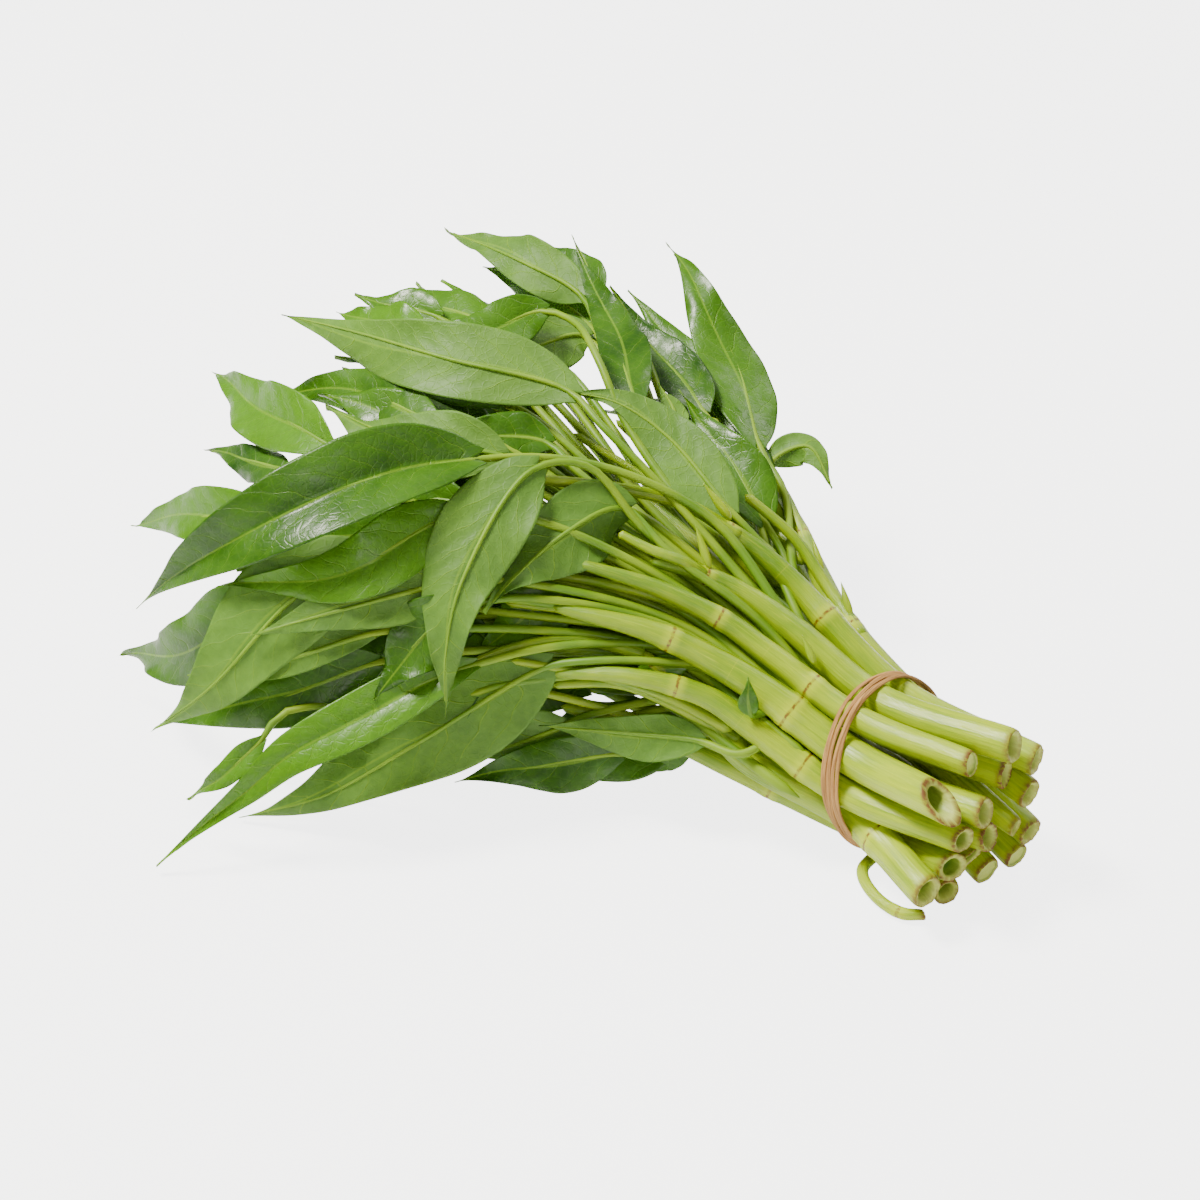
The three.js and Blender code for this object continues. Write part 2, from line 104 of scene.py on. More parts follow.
LEAVES = [
  ['leaf_drape', 25, 12, [0.4, -0.8, 0.45], 1, 2,
    [[-84, -9, 80], [-102, -12, 97], [-112, -25, 99], [-113, -57, 79], [-111, -68, 62], [-109, -72, 42]]],
  ['leaf_sweep', 30, 32, [0.3, -0.6, 0.7], 0, 3,
    [[-70, 8, 78], [-88, 1, 89], [-108, -12, 97], [-128, -34, 101], [-156, -73, 98], [-177, -88, 84],
      [-206, -92, 52]]],
  ['leaf_crest', 24, 10, [0.5, -0.6, 0.6], 1, 2,
    [[-86, 4, 86], [-110, 5, 100], [-124, 9, 104], [-158, -3, 109], [-192, -2, 106], [-228, 4, 98]]],
  ['leaf_cup', 25, 22, [0.5, -0.6, 0.6], 1, 1,
    [[-76, -9, 76], [-92, -9, 85], [-99, -28, 84], [-105, -46, 75], [-108, -54, 68]]],
  ['leaf_front', 29, 10, [0.35, -0.75, 0.55], 1, 2,
    [[-66, -26, 52], [-83, -39, 53], [-94, -46, 50], [-116, -72, 32], [-138, -92, 14], [-162, -103, 2]]],
  ['leaf_spread', 20, 15, [0.3, -0.8, 0.5], 0, 1,
    [[-108, -32, 88], [-124, -46, 90], [-136, -69, 84], [-146, -78, 80], [-173, -92, 73]]],
  ['leaf_belly', 18, 10, [0.3, -0.8, 0.5], 1, 1,
    [[-106, -44, 74], [-120, -58, 75], [-137, -78, 72], [-158, -97, 65]]],
  ['leaf_quilt', 29, 10, [0.3, -0.8, 0.5], 1, 1,
    [[-128, -50, 78], [-145, -66, 80], [-153, -86, 71], [-167, -103, 48], [-187, -109, 27]]],
  ['leaf_tuck', 20, 10, [0.4, -0.8, 0.4], 0, 1,
    [[-102, -44, 70], [-114, -59, 69], [-121, -70, 61], [-126, -82, 47]]],
  ['leaf_shade', 20, 10, [0.5, -0.7, 0.5], 0, 1,
    [[-84, -24, 62], [-96, -28, 65], [-105, -42, 60], [-113, -52, 50]]],
  ['leaf_ribbon', 17, 25, [0.3, -0.8, 0.5], 0, 1,
    [[-86, -36, 56], [-108, -61, 54], [-126, -82, 46], [-141, -101, 36], [-150, -114, 22], [-166, -134, 3]]],
  ['leaf_front_dark', 18, 10, [0.3, -0.8, 0.5], 0, 1,
    [[-98, -50, 46], [-110, -60, 42], [-127, -70, 27], [-145, -77, 10]]],
  ['leaf_dark_low', 21, 10, [0.3, -0.8, 0.5], 0, 1,
    [[-120, -62, 54], [-133, -74, 52], [-154, -94, 42], [-190, -103, 24]]],
  ['leaf_left_far', 23, 15, [0.1, -0.8, 0.5], 0, 1,
    [[-150, -66, 72], [-167, -77, 64], [-186, -87, 46], [-231, -76, 15]]],
  ['leaf_left_tongue', 18, 15, [0.2, -0.7, 0.6], 0, 1,
    [[-162, -60, 84], [-180, -64, 80], [-208, -63, 67], [-243, -54, 46]]],
  ['leaf_left_high', 21, 20, [0.3, -0.7, 0.6], 0, 1,
    [[-160, -38, 88], [-176, -39, 92], [-209, -28, 88], [-250, -6, 75]]],
  ['leaf_left_mid', 21, 10, [0.4, -0.5, 0.75], 1, 1,
    [[-118, -14, 90], [-130, -18, 94], [-153, -28, 95], [-190, -22, 91]]],
  ['leaf_left_upper', 18, 10, [0.3, -0.6, 0.7], 0, 1,
    [[-138, -12, 94], [-153, -18, 97], [-181, -13, 94], [-220, -13, 80]]],
  ['leaf_ridge', 17, 10, [0.3, -0.5, 0.8], 0, 1,
    [[-168, 18, 92], [-190, 22, 95], [-208, 24, 92], [-226, 27, 89]]],
  ['leaf_ridge_back', 18, 10, [0.3, -0.4, 0.8], 0, 1,
    [[-162, 42, 88], [-182, 44, 92], [-203, 46, 90], [-224, 48, 83]]],
  ['leaf_hook', 18, 18, [0.3, -0.4, 0.85], 0, 3,
    [[-112, 22, 90], [-129, 31, 103], [-146, 43, 104], [-159, 44, 103], [-170, 22, 101], [-190, 14, 98]]],
  ['leaf_grey_top', 20, 5, [0.4, -0.5, 0.75], 1, 1,
    [[-135, 50, 86], [-152, 56, 91], [-158, 40, 93], [-165, 28, 92]]],
  ['leaf_saddle', 19, 8, [0.6, -0.5, 0.6], 1, 1,
    [[-60, 19, 66], [-75, 20, 76], [-100, 26, 88], [-117, 24, 95], [-131, 18, 97]]],
  ['leaf_lone', 21, 8, [0.7, -0.5, 0.5], 0, 2,
    [[-78, 56, 62], [-88, 62, 66], [-94, 66, 69], [-114, 86, 78], [-137, 98, 93], [-158, 111, 97]]],
  ['leaf_blade', 16, 12, [0.5, -0.6, 0.5], 0, 1,
    [[-104, 28, 78], [-117, 34, 90], [-150, 67, 92], [-167, 82, 96], [-181, 91, 102]]],
  ['leaf_back_fold', 19, 22, [0.7, -0.5, 0.5], 0, 1,
    [[-88, 50, 66], [-112, 62, 76], [-142, 78, 83], [-160, 82, 94]]],
  ['leaf_back_dark', 18, 10, [0.5, -0.6, 0.5], 0, 1,
    [[-92, 58, 60], [-110, 70, 66], [-137, 88, 76], [-162, 95, 86]]],
  ['leaf_fan_pale', 17, 10, [0.4, -0.6, 0.7], 1, 1,
    [[-148, 62, 86], [-168, 77, 91], [-192, 78, 95], [-229, 87, 91]]],
  ['leaf_fan_dark', 19, 10, [0.4, -0.6, 0.6], 0, 1,
    [[-144, 62, 80], [-164, 76, 82], [-187, 82, 85], [-214, 87, 82]]],
  ['leaf_skirt', 14, 6, [0.4, -0.8, 0.45], 1, 1,
    [[-38, -28, 33], [-52, -29, 32], [-71, -35, 30], [-97, -44, 27]]],
  ['leaf_skirt_near', 18, 12, [0.3, -0.9, 0.3], 0, 1,
    [[-54, -20, 28], [-63, -20, 24], [-71, -23, 16], [-79, -22, 4]]],
  ['leaf_skirt_far', 18, 12, [0.3, -0.9, 0.3], 0, 1,
    [[-78, -27, 28], [-86, -28, 23], [-94, -33, 14], [-103, -36, 3]]],
  ['leaf_rear_mid', 21, 12, [0.3, 0.8, 0.5], 0, 1,
    [[-104, 64, 46], [-120, 74, 50], [-145, 92, 46], [-182, 104, 30]]],
  ['leaf_rear_high', 22, 12, [0.1, 0.8, 0.6], 0, 1,
    [[-126, 62, 62], [-144, 76, 70], [-172, 92, 66], [-212, 96, 48]]],
  ['leaf_rear_drop', 22, 12, [0.4, 0.8, 0.3], 0, 1,
    [[-84, 52, 36], [-98, 66, 40], [-118, 86, 28], [-136, 102, 3]]],
  ['leaf_rear_low', 21, 8, [0.0, 0.6, 0.8], 0, 1,
    [[-116, 50, 26], [-132, 58, 28], [-160, 74, 18], [-196, 86, 3]]],
  ['leaf_end_high', 22, 12, [-0.3, 0.2, 0.9], 0, 1,
    [[-146, 30, 74], [-164, 34, 78], [-196, 44, 74], [-236, 52, 56]]],
  ['leaf_end_mid', 22, 12, [-0.4, 0.1, 0.9], 0, 1,
    [[-142, 4, 60], [-160, 6, 64], [-192, 12, 58], [-232, 16, 38]]],
  ['leaf_end_low', 22, 10, [-0.3, -0.2, 0.9], 0, 1,
    [[-128, -8, 42], [-146, -12, 44], [-176, -24, 34], [-212, -34, 12]]],
  ['leaf_floor', 22, 8, [0.0, 0.1, 0.9], 0, 1,
    [[-124, 26, 22], [-142, 28, 22], [-174, 30, 12], [-212, 34, 2]]],
  ['leaf_floor_front', 20, 8, [0.0, -0.2, 0.9], 0, 1,
    [[-104, -12, 18], [-122, -20, 20], [-150, -38, 12], [-186, -54, 2]]],
]

# How young a leaf is and how brightly it is lit, from 0 (dark) to 1 (bright); the
# others are drawn at random. The bright end is partly painted light: lit and backlit
# leaves are given high values.
YOUTH_AND_LIGHT = {
    'leaf_spread': 1.0, 'leaf_left_high': 0.95, 'leaf_ribbon': 0.9, 'leaf_left_tongue': 0.85,
    'leaf_sweep': 0.25, 'leaf_lone': 0.45, 'leaf_hook': 0.5, 'leaf_left_far': 0.35,
    'leaf_crest': 0.5, 'leaf_drape': 0.25, 'leaf_front': 0.35, 'leaf_quilt': 0.6,
    'leaf_cup': 0.3, 'leaf_blade': 0.15, 'leaf_back_fold': 0.1, 'leaf_tuck': 0.3,
}

# Leaves too small to carry a solid of their own, in the same form as LEAVES.
SMALL_LEAVES = [
  ['sprig_wisp', 9, 30, [0.2, -0.8, 0.5], 0, 2,
    [[-140, -86, 42], [-148, -97, 42], [-150, -104, 36], [-156, -112, 28], [-168, -117, 15]]],
  ['sprig_left', 12, 10, [0.2, -0.6, 0.7], 0, 1,
    [[-172, -48, 88], [-186, -46, 83], [-205, -41, 77], [-228, -35, 69]]],
  ['sprig_sliver', 10, 10, [0.3, -0.8, 0.5], 1, 1,
    [[-122, -66, 64], [-132, -74, 63], [-150, -92, 57], [-178, -102, 46]]],
  ['sprig_gloss', 15, 10, [0.3, -0.8, 0.5], 0, 1,
    [[-122, -68, 42], [-132, -78, 42], [-140, -86, 39], [-148, -91, 33]]],
  ['sprig_curl', 12, 25, [0.6, -0.4, 0.7], 1, 1,
    [[-84, 52, 58], [-88, 66, 64], [-80, 73, 68], [-68, 68, 60]]],
  ['sprig_ridge', 14, 10, [0.3, -0.5, 0.8], 0, 1,
    [[-176, 34, 90], [-194, 37, 93], [-208, 33, 94], [-220, 29, 96]]],
  ['sprig_fan', 17, 10, [0.4, -0.6, 0.6], 0, 1,
    [[-146, 76, 84], [-169, 88, 87], [-190, 96, 88], [-203, 96, 90]]],
  ['sprig_skirt', 18, 10, [0.3, -0.9, 0.3], 1, 1,
    [[-86, -35, 30], [-93, -39, 25], [-104, -45, 18], [-115, -51, 11]]],
  ['sprig_joint', 8, 12, [0.4, -0.8, 0.5], 0, 1,
    [[-56, -18, 48], [-62, -22, 50], [-70, -28, 48], [-76, -32, 45]]],
  ['sprig_tip', 6, 14, [0.6, -0.7, 0.4], 0, 1,
    [[-38, -22, 43], [-38, -24, 45], [-39, -24, 50], [-40, -23, 56]]],
  ['sprig_dark', 15, 10, [0.4, -0.6, 0.7], 0, 1,
    [[-112, -4, 88], [-124, -2, 92], [-140, -14, 95], [-156, -20, 96]]],
  ['sprig_back_a', 19, 12, [0.5, -0.5, 0.6], 0, 1,
    [[-72, 44, 54], [-82, 50, 60], [-104, 64, 68], [-128, 76, 74]]],
  ['sprig_back_b', 18, 10, [0.5, -0.6, 0.5], 0, 1,
    [[-64, 34, 56], [-74, 38, 63], [-94, 48, 74], [-116, 56, 84]]],
  ['sprig_back_c', 18, 10, [0.4, -0.6, 0.6], 1, 1,
    [[-84, 54, 50], [-96, 62, 55], [-118, 76, 62], [-140, 88, 68]]],
  ['sprig_low_a', 17, 10, [0.3, -0.8, 0.4], 0, 1,
    [[-66, -30, 22], [-76, -36, 21], [-96, -48, 15], [-116, -60, 8]]],
  ['sprig_low_b', 17, 10, [0.2, -0.8, 0.5], 0, 1,
    [[-58, -16, 16], [-68, -20, 16], [-88, -34, 12], [-110, -46, 6]]],
  ['sprig_light', 8, 14, [0.6, -0.5, 0.6], 1, 1,
    [[-100, 38, 74], [-108, 44, 80], [-114, 48, 84], [-120, 50, 88]]],
]

# Where a joint rings a stem: the X of its middle, for each stem.
JOINTS = {
    'stem_top': (-67,), 'stem_arc': (-38, -70), 'stem_back': (-36, -66), 'stem_rear': (-50,),
    'stem_rear_low': (-58,), 'stem_under': (-40,), 'stem_floor': (-50,), 'stem_hook': (16, -45),
    'stem_low': (-34,), 'stem_fork': (3, -52, -70), 'stem_front': (-22, -60),
    'stem_slant': (-30, -66), 'stem_joint': (-28, -58), 'stem_core_top': (-55,),
    'stem_core_back': (-60,), 'stem_core_low': (-62,), 'stem_core_front': (-45,),
    'stem_core_side': (-52,),
}

# How a stem is cut: (slope of the cut, direction it faces in degrees from the
# top, how far the mouth is crushed, depth of the bore in millimetres).
PLAIN_CUT = (0.12, 40, 0.05, 14)
CUTS = {
    'stem_slant': (1.05, 8, 0.08, 16), 'stem_front': (0.25, -60, 0.16, 6),
    'stem_rear_low': (0.1, 0, 0.04, 0.6), 'stem_under': (0.1, 90, 0.04, 0.5),
    'stem_joint': (0.2, 20, 0.06, 1.0), 'stem_core_low': (0.3, 120, 0.28, 5),
    'stem_core_back': (0.2, 80, 0.25, 8), 'stem_hook': (0.5, 90, 0.10, 2),
    'stem_low': (0.3, -90, 0.12, 5),
}

# Thin side shoots: [name, first radius, points from the stem outward].
SHOOTS = [
  ['shoot_ribbon', 1.9, [[-72, -26, 52], [-90, -36, 56], [-102, -50, 56], [-110, -62, 53]]],
  ['shoot_front', 1.8, [[-42, -22, 32], [-58, -26, 38], [-76, -33, 44], [-92, -44, 44]]],
  ['shoot_cup', 1.9, [[-67, -4, 69], [-72, -8, 74], [-80, -12, 77], [-90, -14, 80]]],
  ['shoot_edge', 2.1, [[-30, 24, 45], [-48, 32, 53], [-62, 36, 62], [-78, 34, 72]]],
  ['shoot_sweep', 2.2, [[-66, 14, 72], [-82, 8, 81], [-98, -4, 87], [-116, -20, 92]]],
  ['shoot_lone', 2.0, [[-50, 36, 50], [-64, 46, 55], [-76, 55, 60], [-88, 62, 64]]],
  ['shoot_blade', 1.8, [[-62, 26, 60], [-80, 28, 68], [-98, 30, 78], [-112, 36, 86]]],
  ['shoot_fold', 1.9, [[-58, 36, 54], [-76, 44, 60], [-94, 54, 68], [-108, 62, 74]]],
  ['shoot_dark', 1.8, [[-60, 42, 52], [-78, 52, 58], [-96, 64, 64], [-112, 72, 68]]],
  ['shoot_inner_a', 1.8, [[-52, -8, 56], [-68, -12, 62], [-86, -22, 68], [-104, -34, 72]]],
  ['shoot_inner_b', 1.7, [[-50, -14, 52], [-68, -20, 56], [-88, -30, 62], [-108, -44, 66]]],
  ['shoot_inner_c', 1.7, [[-54, 4, 58], [-72, 4, 66], [-92, 2, 76], [-112, -4, 84]]],
  ['shoot_inner_d', 1.6, [[-56, 20, 56], [-76, 22, 66], [-98, 24, 78], [-120, 28, 86]]],
  ['shoot_inner_e', 1.6, [[-56, 12, 60], [-76, 14, 70], [-100, 14, 80], [-124, 12, 88]]],
  ['shoot_low_a', 1.6, [[-46, -20, 24], [-64, -24, 27], [-84, -32, 32], [-104, -44, 38]]],
  ['shoot_low_b', 1.6, [[-44, -24, 36], [-62, -28, 42], [-82, -38, 48], [-102, -50, 52]]],
]


# ---- curves --------------------------------------------------------------
def unit(v):
    """Each vector divided by its length."""
    return v / np.maximum(np.linalg.norm(v, axis=-1, keepdims=True), 1e-9)


def curve(points, count):
    """Centripetal Catmull-Rom: every leg is the blend of the parabolas through its neighbours,
    timed by the square root of the distance between points, then evenly spaced by length."""
    p = np.asarray(points, float)
    p = np.vstack([2 * p[0] - p[1], p, 2 * p[-1] - p[-2]])
    legs = []
    for a, b, c, d in zip(p[:-3], p[1:-2], p[2:-1], p[3:]):
        gaps = [math.sqrt(np.linalg.norm(w - v)) + 1e-6 for v, w in ((a, b), (b, c), (c, d))]
        t0, t1 = 0.0, gaps[0]
        t2, t3 = t1 + gaps[1], t1 + gaps[1] + gaps[2]
        t = np.linspace(t1, t2, 40, endpoint=False)[:, None]
        ab = (t1 - t) / (t1 - t0) * a + (t - t0) / (t1 - t0) * b
        bc = (t2 - t) / (t2 - t1) * b + (t - t1) / (t2 - t1) * c
        cd = (t3 - t) / (t3 - t2) * c + (t - t2) / (t3 - t2) * d
        abc = (t2 - t) / (t2 - t0) * ab + (t - t0) / (t2 - t0) * bc
        bcd = (t3 - t) / (t3 - t1) * bc + (t - t1) / (t3 - t1) * cd
        legs.append((t2 - t) / (t2 - t1) * abc + (t - t1) / (t2 - t1) * bcd)
    line = np.vstack(legs + [p[-2:-1]])
    run = np.r_[0, np.cumsum(np.linalg.norm(np.diff(line, axis=0), axis=1))]
    even = np.linspace(0, run[-1], count)
    return np.stack([np.interp(even, run, line[:, k]) for k in range(3)], -1)


def smooth_step(x):
    """0 below 0, 1 above 1, and 3x^2 - 2x^3 between."""
    x = np.clip(x, 0, 1)
    return x * x * (3 - 2 * x)


def rings_along(line, radius, sides, side=(0.0, 1.0, 0.0)):
    """A circle of the given radius at every point, square to the line. The circle starts
    opposite the side direction, so neighbouring circles never twist against each other."""
    along = unit(np.gradient(line, axis=0))
    up = unit(np.cross(np.asarray(side), along))
    across = np.cross(along, up)
    turn = np.linspace(0, 2 * math.pi, sides, endpoint=False)
    spoke = across[:, None] * np.cos(turn)[:, None] + up[:, None] * np.sin(turn)[:, None]
    return line[:, None] + spoke * np.asarray(radius)[..., None], turn


# ---- meshes --------------------------------------------------------------
def skin(rings, fields):
    """One closed surface through equal rings of points: quads between neighbouring rings,
    and a fan from the middle point over each end. Fields are values at every ring point."""
    m, n = rings.shape[:2]
    index = np.arange(m * n).reshape(m, n)
    ahead = np.roll(index, -1, axis=1)
    quads = np.stack([index[:-1], ahead[:-1], ahead[1:], index[1:]], -1).reshape(-1, 4)
    first, last = m * n, m * n + 1
    fans = np.concatenate([
        np.stack([np.full(n, first), ahead[0], index[0]], -1),
        np.stack([np.full(n, last), index[-1], ahead[-1]], -1)])
    points = np.vstack([rings.reshape(-1, 3), rings[0].mean(0), rings[-1].mean(0)])
    filled = {}
    for name, values in fields.items():
        values = np.broadcast_to(values, (m, n) + np.shape(values)[2:])
        width = values.shape[2:]
        ends = np.stack([values[0].mean(0), values[-1].mean(0)])
        filled[name] = np.concatenate([values.reshape((m * n,) + width), ends])
    return points, quads, fans, filled


def outward(part):
    """Turns the faces over when the signed volume (sum of corner triple products) is negative."""
    points, quads, fans, fields = part
    tris = np.vstack([fans, quads[:, :3], quads[:, [0, 2, 3]]])
    a, b, c = (points[tris[:, k]] - points.mean(0) for k in range(3))
    if (a * np.cross(b, c)).sum() < 0:
        quads, fans = quads[:, ::-1], fans[:, ::-1]
    return points, quads, fans, fields


def piece(name, parts, material, nodes):
    """Makes one object from closed surfaces in millimetres and hands it to the frame."""
    parts = [outward(part) for part in parts]
    loops, starts, points = [], [], []
    base = at = 0
    for p, quads, fans, _ in parts:
        for faces in (quads, fans):
            loops.append((faces + base).ravel())
            starts.append(at + np.arange(len(faces)) * faces.shape[1])
            at += faces.size
        points.append(p)
        base += len(p)
    points, loops, starts = np.vstack(points), np.concatenate(loops), np.concatenate(starts)
    mesh = bpy.data.meshes.new(name)
    mesh.vertices.add(len(points))
    mesh.vertices.foreach_set("co", (points * MM).astype(np.float32).ravel())
    mesh.loops.add(len(loops))
    mesh.loops.foreach_set("vertex_index", loops.astype(np.int32))
    mesh.polygons.add(len(starts))
    mesh.polygons.foreach_set("loop_start", starts.astype(np.int32))
    mesh.update(calc_edges=True)
    for key in parts[0][3]:
        values = np.concatenate([part[3][key] for part in parts]).astype(np.float32)
        kind, field = ("FLOAT", "value") if values.ndim == 1 else ("FLOAT_VECTOR", "vector")
        layer = mesh.attributes.new(key, kind, "POINT")
        layer.data.foreach_set(field, values.ravel())
    mesh.polygons.foreach_set("use_smooth", np.ones(len(starts), bool))
    mesh.validate()
    obj = bpy.data.objects.new(name, mesh)
    bpy.context.scene.collection.objects.link(obj)
    mesh.materials.append(material)
    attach(obj, "root")
    if nodes:
        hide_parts(*nodes)
    return obj


# ---- shader building blocks ----------------------------------------------
class Graph:
    """A short way to write a node tree: every method makes one node and returns its output."""

    def __init__(self, tree):
        self.tree = tree

    def node(self, kind, inputs=(), **settings):
        made = self.tree.nodes.new(kind)
        for key, value in settings.items():
            setattr(made, key, value)
        for key, value in dict(inputs).items():
            if isinstance(value, bpy.types.NodeSocket):
                self.tree.links.new(value, made.inputs[key])
            else:
                made.inputs[key].default_value = value
        return made

    def math(self, operation, *values):
        return self.node("ShaderNodeMath", enumerate(values), operation=operation).outputs[0]

    def ramp(self, value, low, high, to_low=0.0, to_high=1.0):
        made = self.node("ShaderNodeMapRange", {0: value, 1: low, 2: high, 3: to_low, 4: to_high})
        made.interpolation_type = "SMOOTHSTEP"
        return made.outputs[0]

    def mix(self, share, first, second):
        made = self.node("ShaderNodeMix", {0: share}, data_type="RGBA")
        for socket, value in ((made.inputs[6], first), (made.inputs[7], second)):
            if isinstance(value, bpy.types.NodeSocket):
                self.tree.links.new(value, socket)
            else:
                socket.default_value = value
        return made.outputs[2]

    def noise(self, vector, scale, detail=3.0, rough=0.5):
        return self.node("ShaderNodeTexNoise", {
            "Vector": vector, "Scale": scale, "Detail": detail, "Roughness": rough}).outputs[0]

    def attribute(self, name, output):
        return self.node("ShaderNodeAttribute", attribute_name=name).outputs[output]


def group(name, inputs, outputs):
    """An empty shader node group with named sockets, as a Graph with its two ends."""
    tree = bpy.data.node_groups.new(name, "ShaderNodeTree")
    for label, kind in inputs:
        tree.interface.new_socket(label, in_out="INPUT", socket_type="NodeSocket" + kind)
    for label, kind in outputs:
        tree.interface.new_socket(label, in_out="OUTPUT", socket_type="NodeSocket" + kind)
    graph = Graph(tree)
    return graph, graph.node("NodeGroupInput").outputs, graph.node("NodeGroupOutput").inputs


def rgba(colour):
    return (*colour, 1.0)


def vein_group():
    """Vein masks of a leaf. A side vein is a narrow peak of the cosine of its phase, and it
    fades toward the edge. The fine net is the distance to the borders of small cells."""
    g, i, o = group("Leaf Veins", [("Across", "Float"), ("Phase", "Float"), ("Along", "Float"),
                                   ("Place", "Vector")],
                    [("Midrib", "Float"), ("Side Veins", "Float"), ("Quilt", "Float"),
                     ("Net", "Float")])
    across = g.math("ABSOLUTE", i["Across"])
    width = g.math("SUBTRACT", 0.75, g.math("MULTIPLY", i["Along"], 0.5))
    midrib = g.ramp(g.math("DIVIDE", across, width), 1.0, 0.35)
    wave = g.math("COSINE", g.math("MULTIPLY", i["Phase"], 2 * math.pi))
    fade = g.ramp(across, 15.0, 3.0, 0.35, 1.0)
    broken = g.ramp(g.noise(i["Place"], 0.16, 2.0), 0.30, 0.62, 0.35, 1.0)
    side = g.math("MULTIPLY", g.math("MULTIPLY", g.ramp(wave, 0.972, 0.998), fade), broken)
    quilt = g.math("MULTIPLY", g.ramp(wave, -1.0, 1.0), fade)
    cells = g.node("ShaderNodeTexVoronoi", {"Vector": i["Place"], "Scale": 0.42},
                   feature="DISTANCE_TO_EDGE").outputs[0]
    net = g.ramp(cells, 0.12, 0.0)
    for label, value in (("Midrib", midrib), ("Side Veins", side), ("Quilt", quilt),
                         ("Net", net)):
        g.tree.links.new(value, o[label])
    return g.tree


def blotch_group():
    """Uneven growth: broad soft patches and fine mottling from two noises, both 0 to 1."""
    g, i, o = group("Plant Mottle", [("Place", "Vector"), ("Size", "Float")],
                    [("Patches", "Float"), ("Mottle", "Float")])
    g.tree.links.new(g.ramp(g.noise(i["Place"], i["Size"], 2.0), 0.35, 0.65), o["Patches"])
    fine = g.math("MULTIPLY", i["Size"], 9.0)
    g.tree.links.new(g.noise(i["Place"], fine, 3.0, 0.6), o["Mottle"])
    return g.tree


def new_material(name):
    material = bpy.data.materials.new(name)
    material.use_nodes = True
    material.node_tree.nodes.clear()
    return material, Graph(material.node_tree)


def leaf_material(s, veins, mottle):
    """Thin leaf: glossy dark upper side, matte paler underside, light through the blade."""
    material, g = new_material("Leaf")
    leaf = g.node("ShaderNodeSeparateXYZ", {0: g.attribute("leaf", "Vector")}).outputs
    tone = g.node("ShaderNodeSeparateXYZ", {0: g.attribute("tone", "Vector")}).outputs
    under, stalk = tone[1], tone[2]
    place = g.attribute("place", "Vector")
    v = g.node("ShaderNodeGroup", node_tree=veins)
    for label, value in (("Across", leaf[0]), ("Phase", leaf[1]), ("Along", leaf[2]),
                         ("Place", place)):
        g.tree.links.new(value, v.inputs[label])
    v = v.outputs
    m = g.node("ShaderNodeGroup", {"Place": place, "Size": 0.05}, node_tree=mottle).outputs
    # The per-leaf tone moves the colour from old to young; its bright values also stand for lit and backlit
    # leaves, so this is partly painted light.
    upper = g.mix(tone[0], rgba(s.leaf_dark), rgba(s.leaf_young_and_lit))
    upper = g.mix(g.math("MULTIPLY", m["Patches"], 0.35), upper, rgba(s.leaf_young_and_lit))
    upper = g.mix(g.math("MULTIPLY", v["Quilt"], 0.10), upper, rgba(s.leaf_young_and_lit))
    lower = g.mix(g.math("MULTIPLY", m["Patches"], 0.5), rgba(s.leaf_under), rgba(s.under_young_and_lit))
    lower = g.mix(g.math("MULTIPLY", tone[0], 0.6), lower, rgba(s.under_young_and_lit))
    lower = g.mix(g.math("MULTIPLY", g.math("SUBTRACT", 1.0, v["Quilt"]), 0.08), lower,
                  rgba(s.leaf_dark))
    body = g.mix(under, upper, lower)
    body = g.mix(g.math("MULTIPLY", g.math("SUBTRACT", m["Mottle"], 0.35), 0.5), body,
                 rgba(s.leaf_dark))
    side = g.math("MULTIPLY", v["Side Veins"], g.math("ADD", 0.20, g.math("MULTIPLY", under, 0.32)))
    body = g.mix(side, body, rgba(s.vein))
    body = g.mix(g.math("MULTIPLY", v["Net"], 0.05), body, rgba(s.vein))
    body = g.mix(g.math("MULTIPLY", v["Midrib"], 0.5), body, rgba(s.vein))
    stem = g.mix(g.math("MULTIPLY", m["Patches"], 0.4), rgba(s.stem_green), rgba(s.stem_light))
    colour = g.mix(stalk, body, stem)
    rise = g.math("SUBTRACT", g.math("MULTIPLY", under, 2.0), 1.0)
    relief = g.math("ADD", g.math("MULTIPLY", v["Quilt"], 0.12),
                    g.math("MULTIPLY", v["Side Veins"], 0.5))
    relief = g.math("ADD", relief, g.math("MULTIPLY", v["Net"], 0.10))
    relief = g.math("MULTIPLY", g.math("MULTIPLY", relief, rise), g.math("SUBTRACT", 1.0, stalk))
    relief = g.math("ADD", relief, g.math("MULTIPLY", m["Mottle"], 0.25))
    bump = g.node("ShaderNodeBump", {"Height": relief, "Distance": 0.0007,
                                     "Strength": 0.55}).outputs[0]
    shine = g.math("ADD", 0.33, g.math("MULTIPLY", under, 0.14))
    shine = g.math("ADD", shine, g.math("MULTIPLY", m["Patches"], 0.12))
    wet = g.math("MULTIPLY", g.math("SUBTRACT", 1.0, under), g.ramp(m["Mottle"], 0.4, 0.6))
    wet = g.math("MULTIPLY", wet, 0.25)
    surface = g.node("ShaderNodeBsdfPrincipled", {
        "Base Color": colour, "Roughness": shine, "Normal": bump, "Coat Weight": wet,
        "Specular IOR Level": 0.38,
        "Coat Roughness": 0.18}).outputs[0]
    bright = g.node("ShaderNodeHueSaturation", {"Color": colour, "Hue": 0.485,
                                                "Saturation": 1.15, "Value": 1.5}).outputs[0]
    through = g.node("ShaderNodeBsdfTranslucent", {"Color": bright, "Normal": bump}).outputs[0]
    share = g.math("MULTIPLY", g.math("SUBTRACT", 1.0, stalk), s.light_through)
    both = g.node("ShaderNodeMixShader", {0: share, 1: surface, 2: through}).outputs[0]
    g.node("ShaderNodeOutputMaterial", {"Surface": both})
    return material


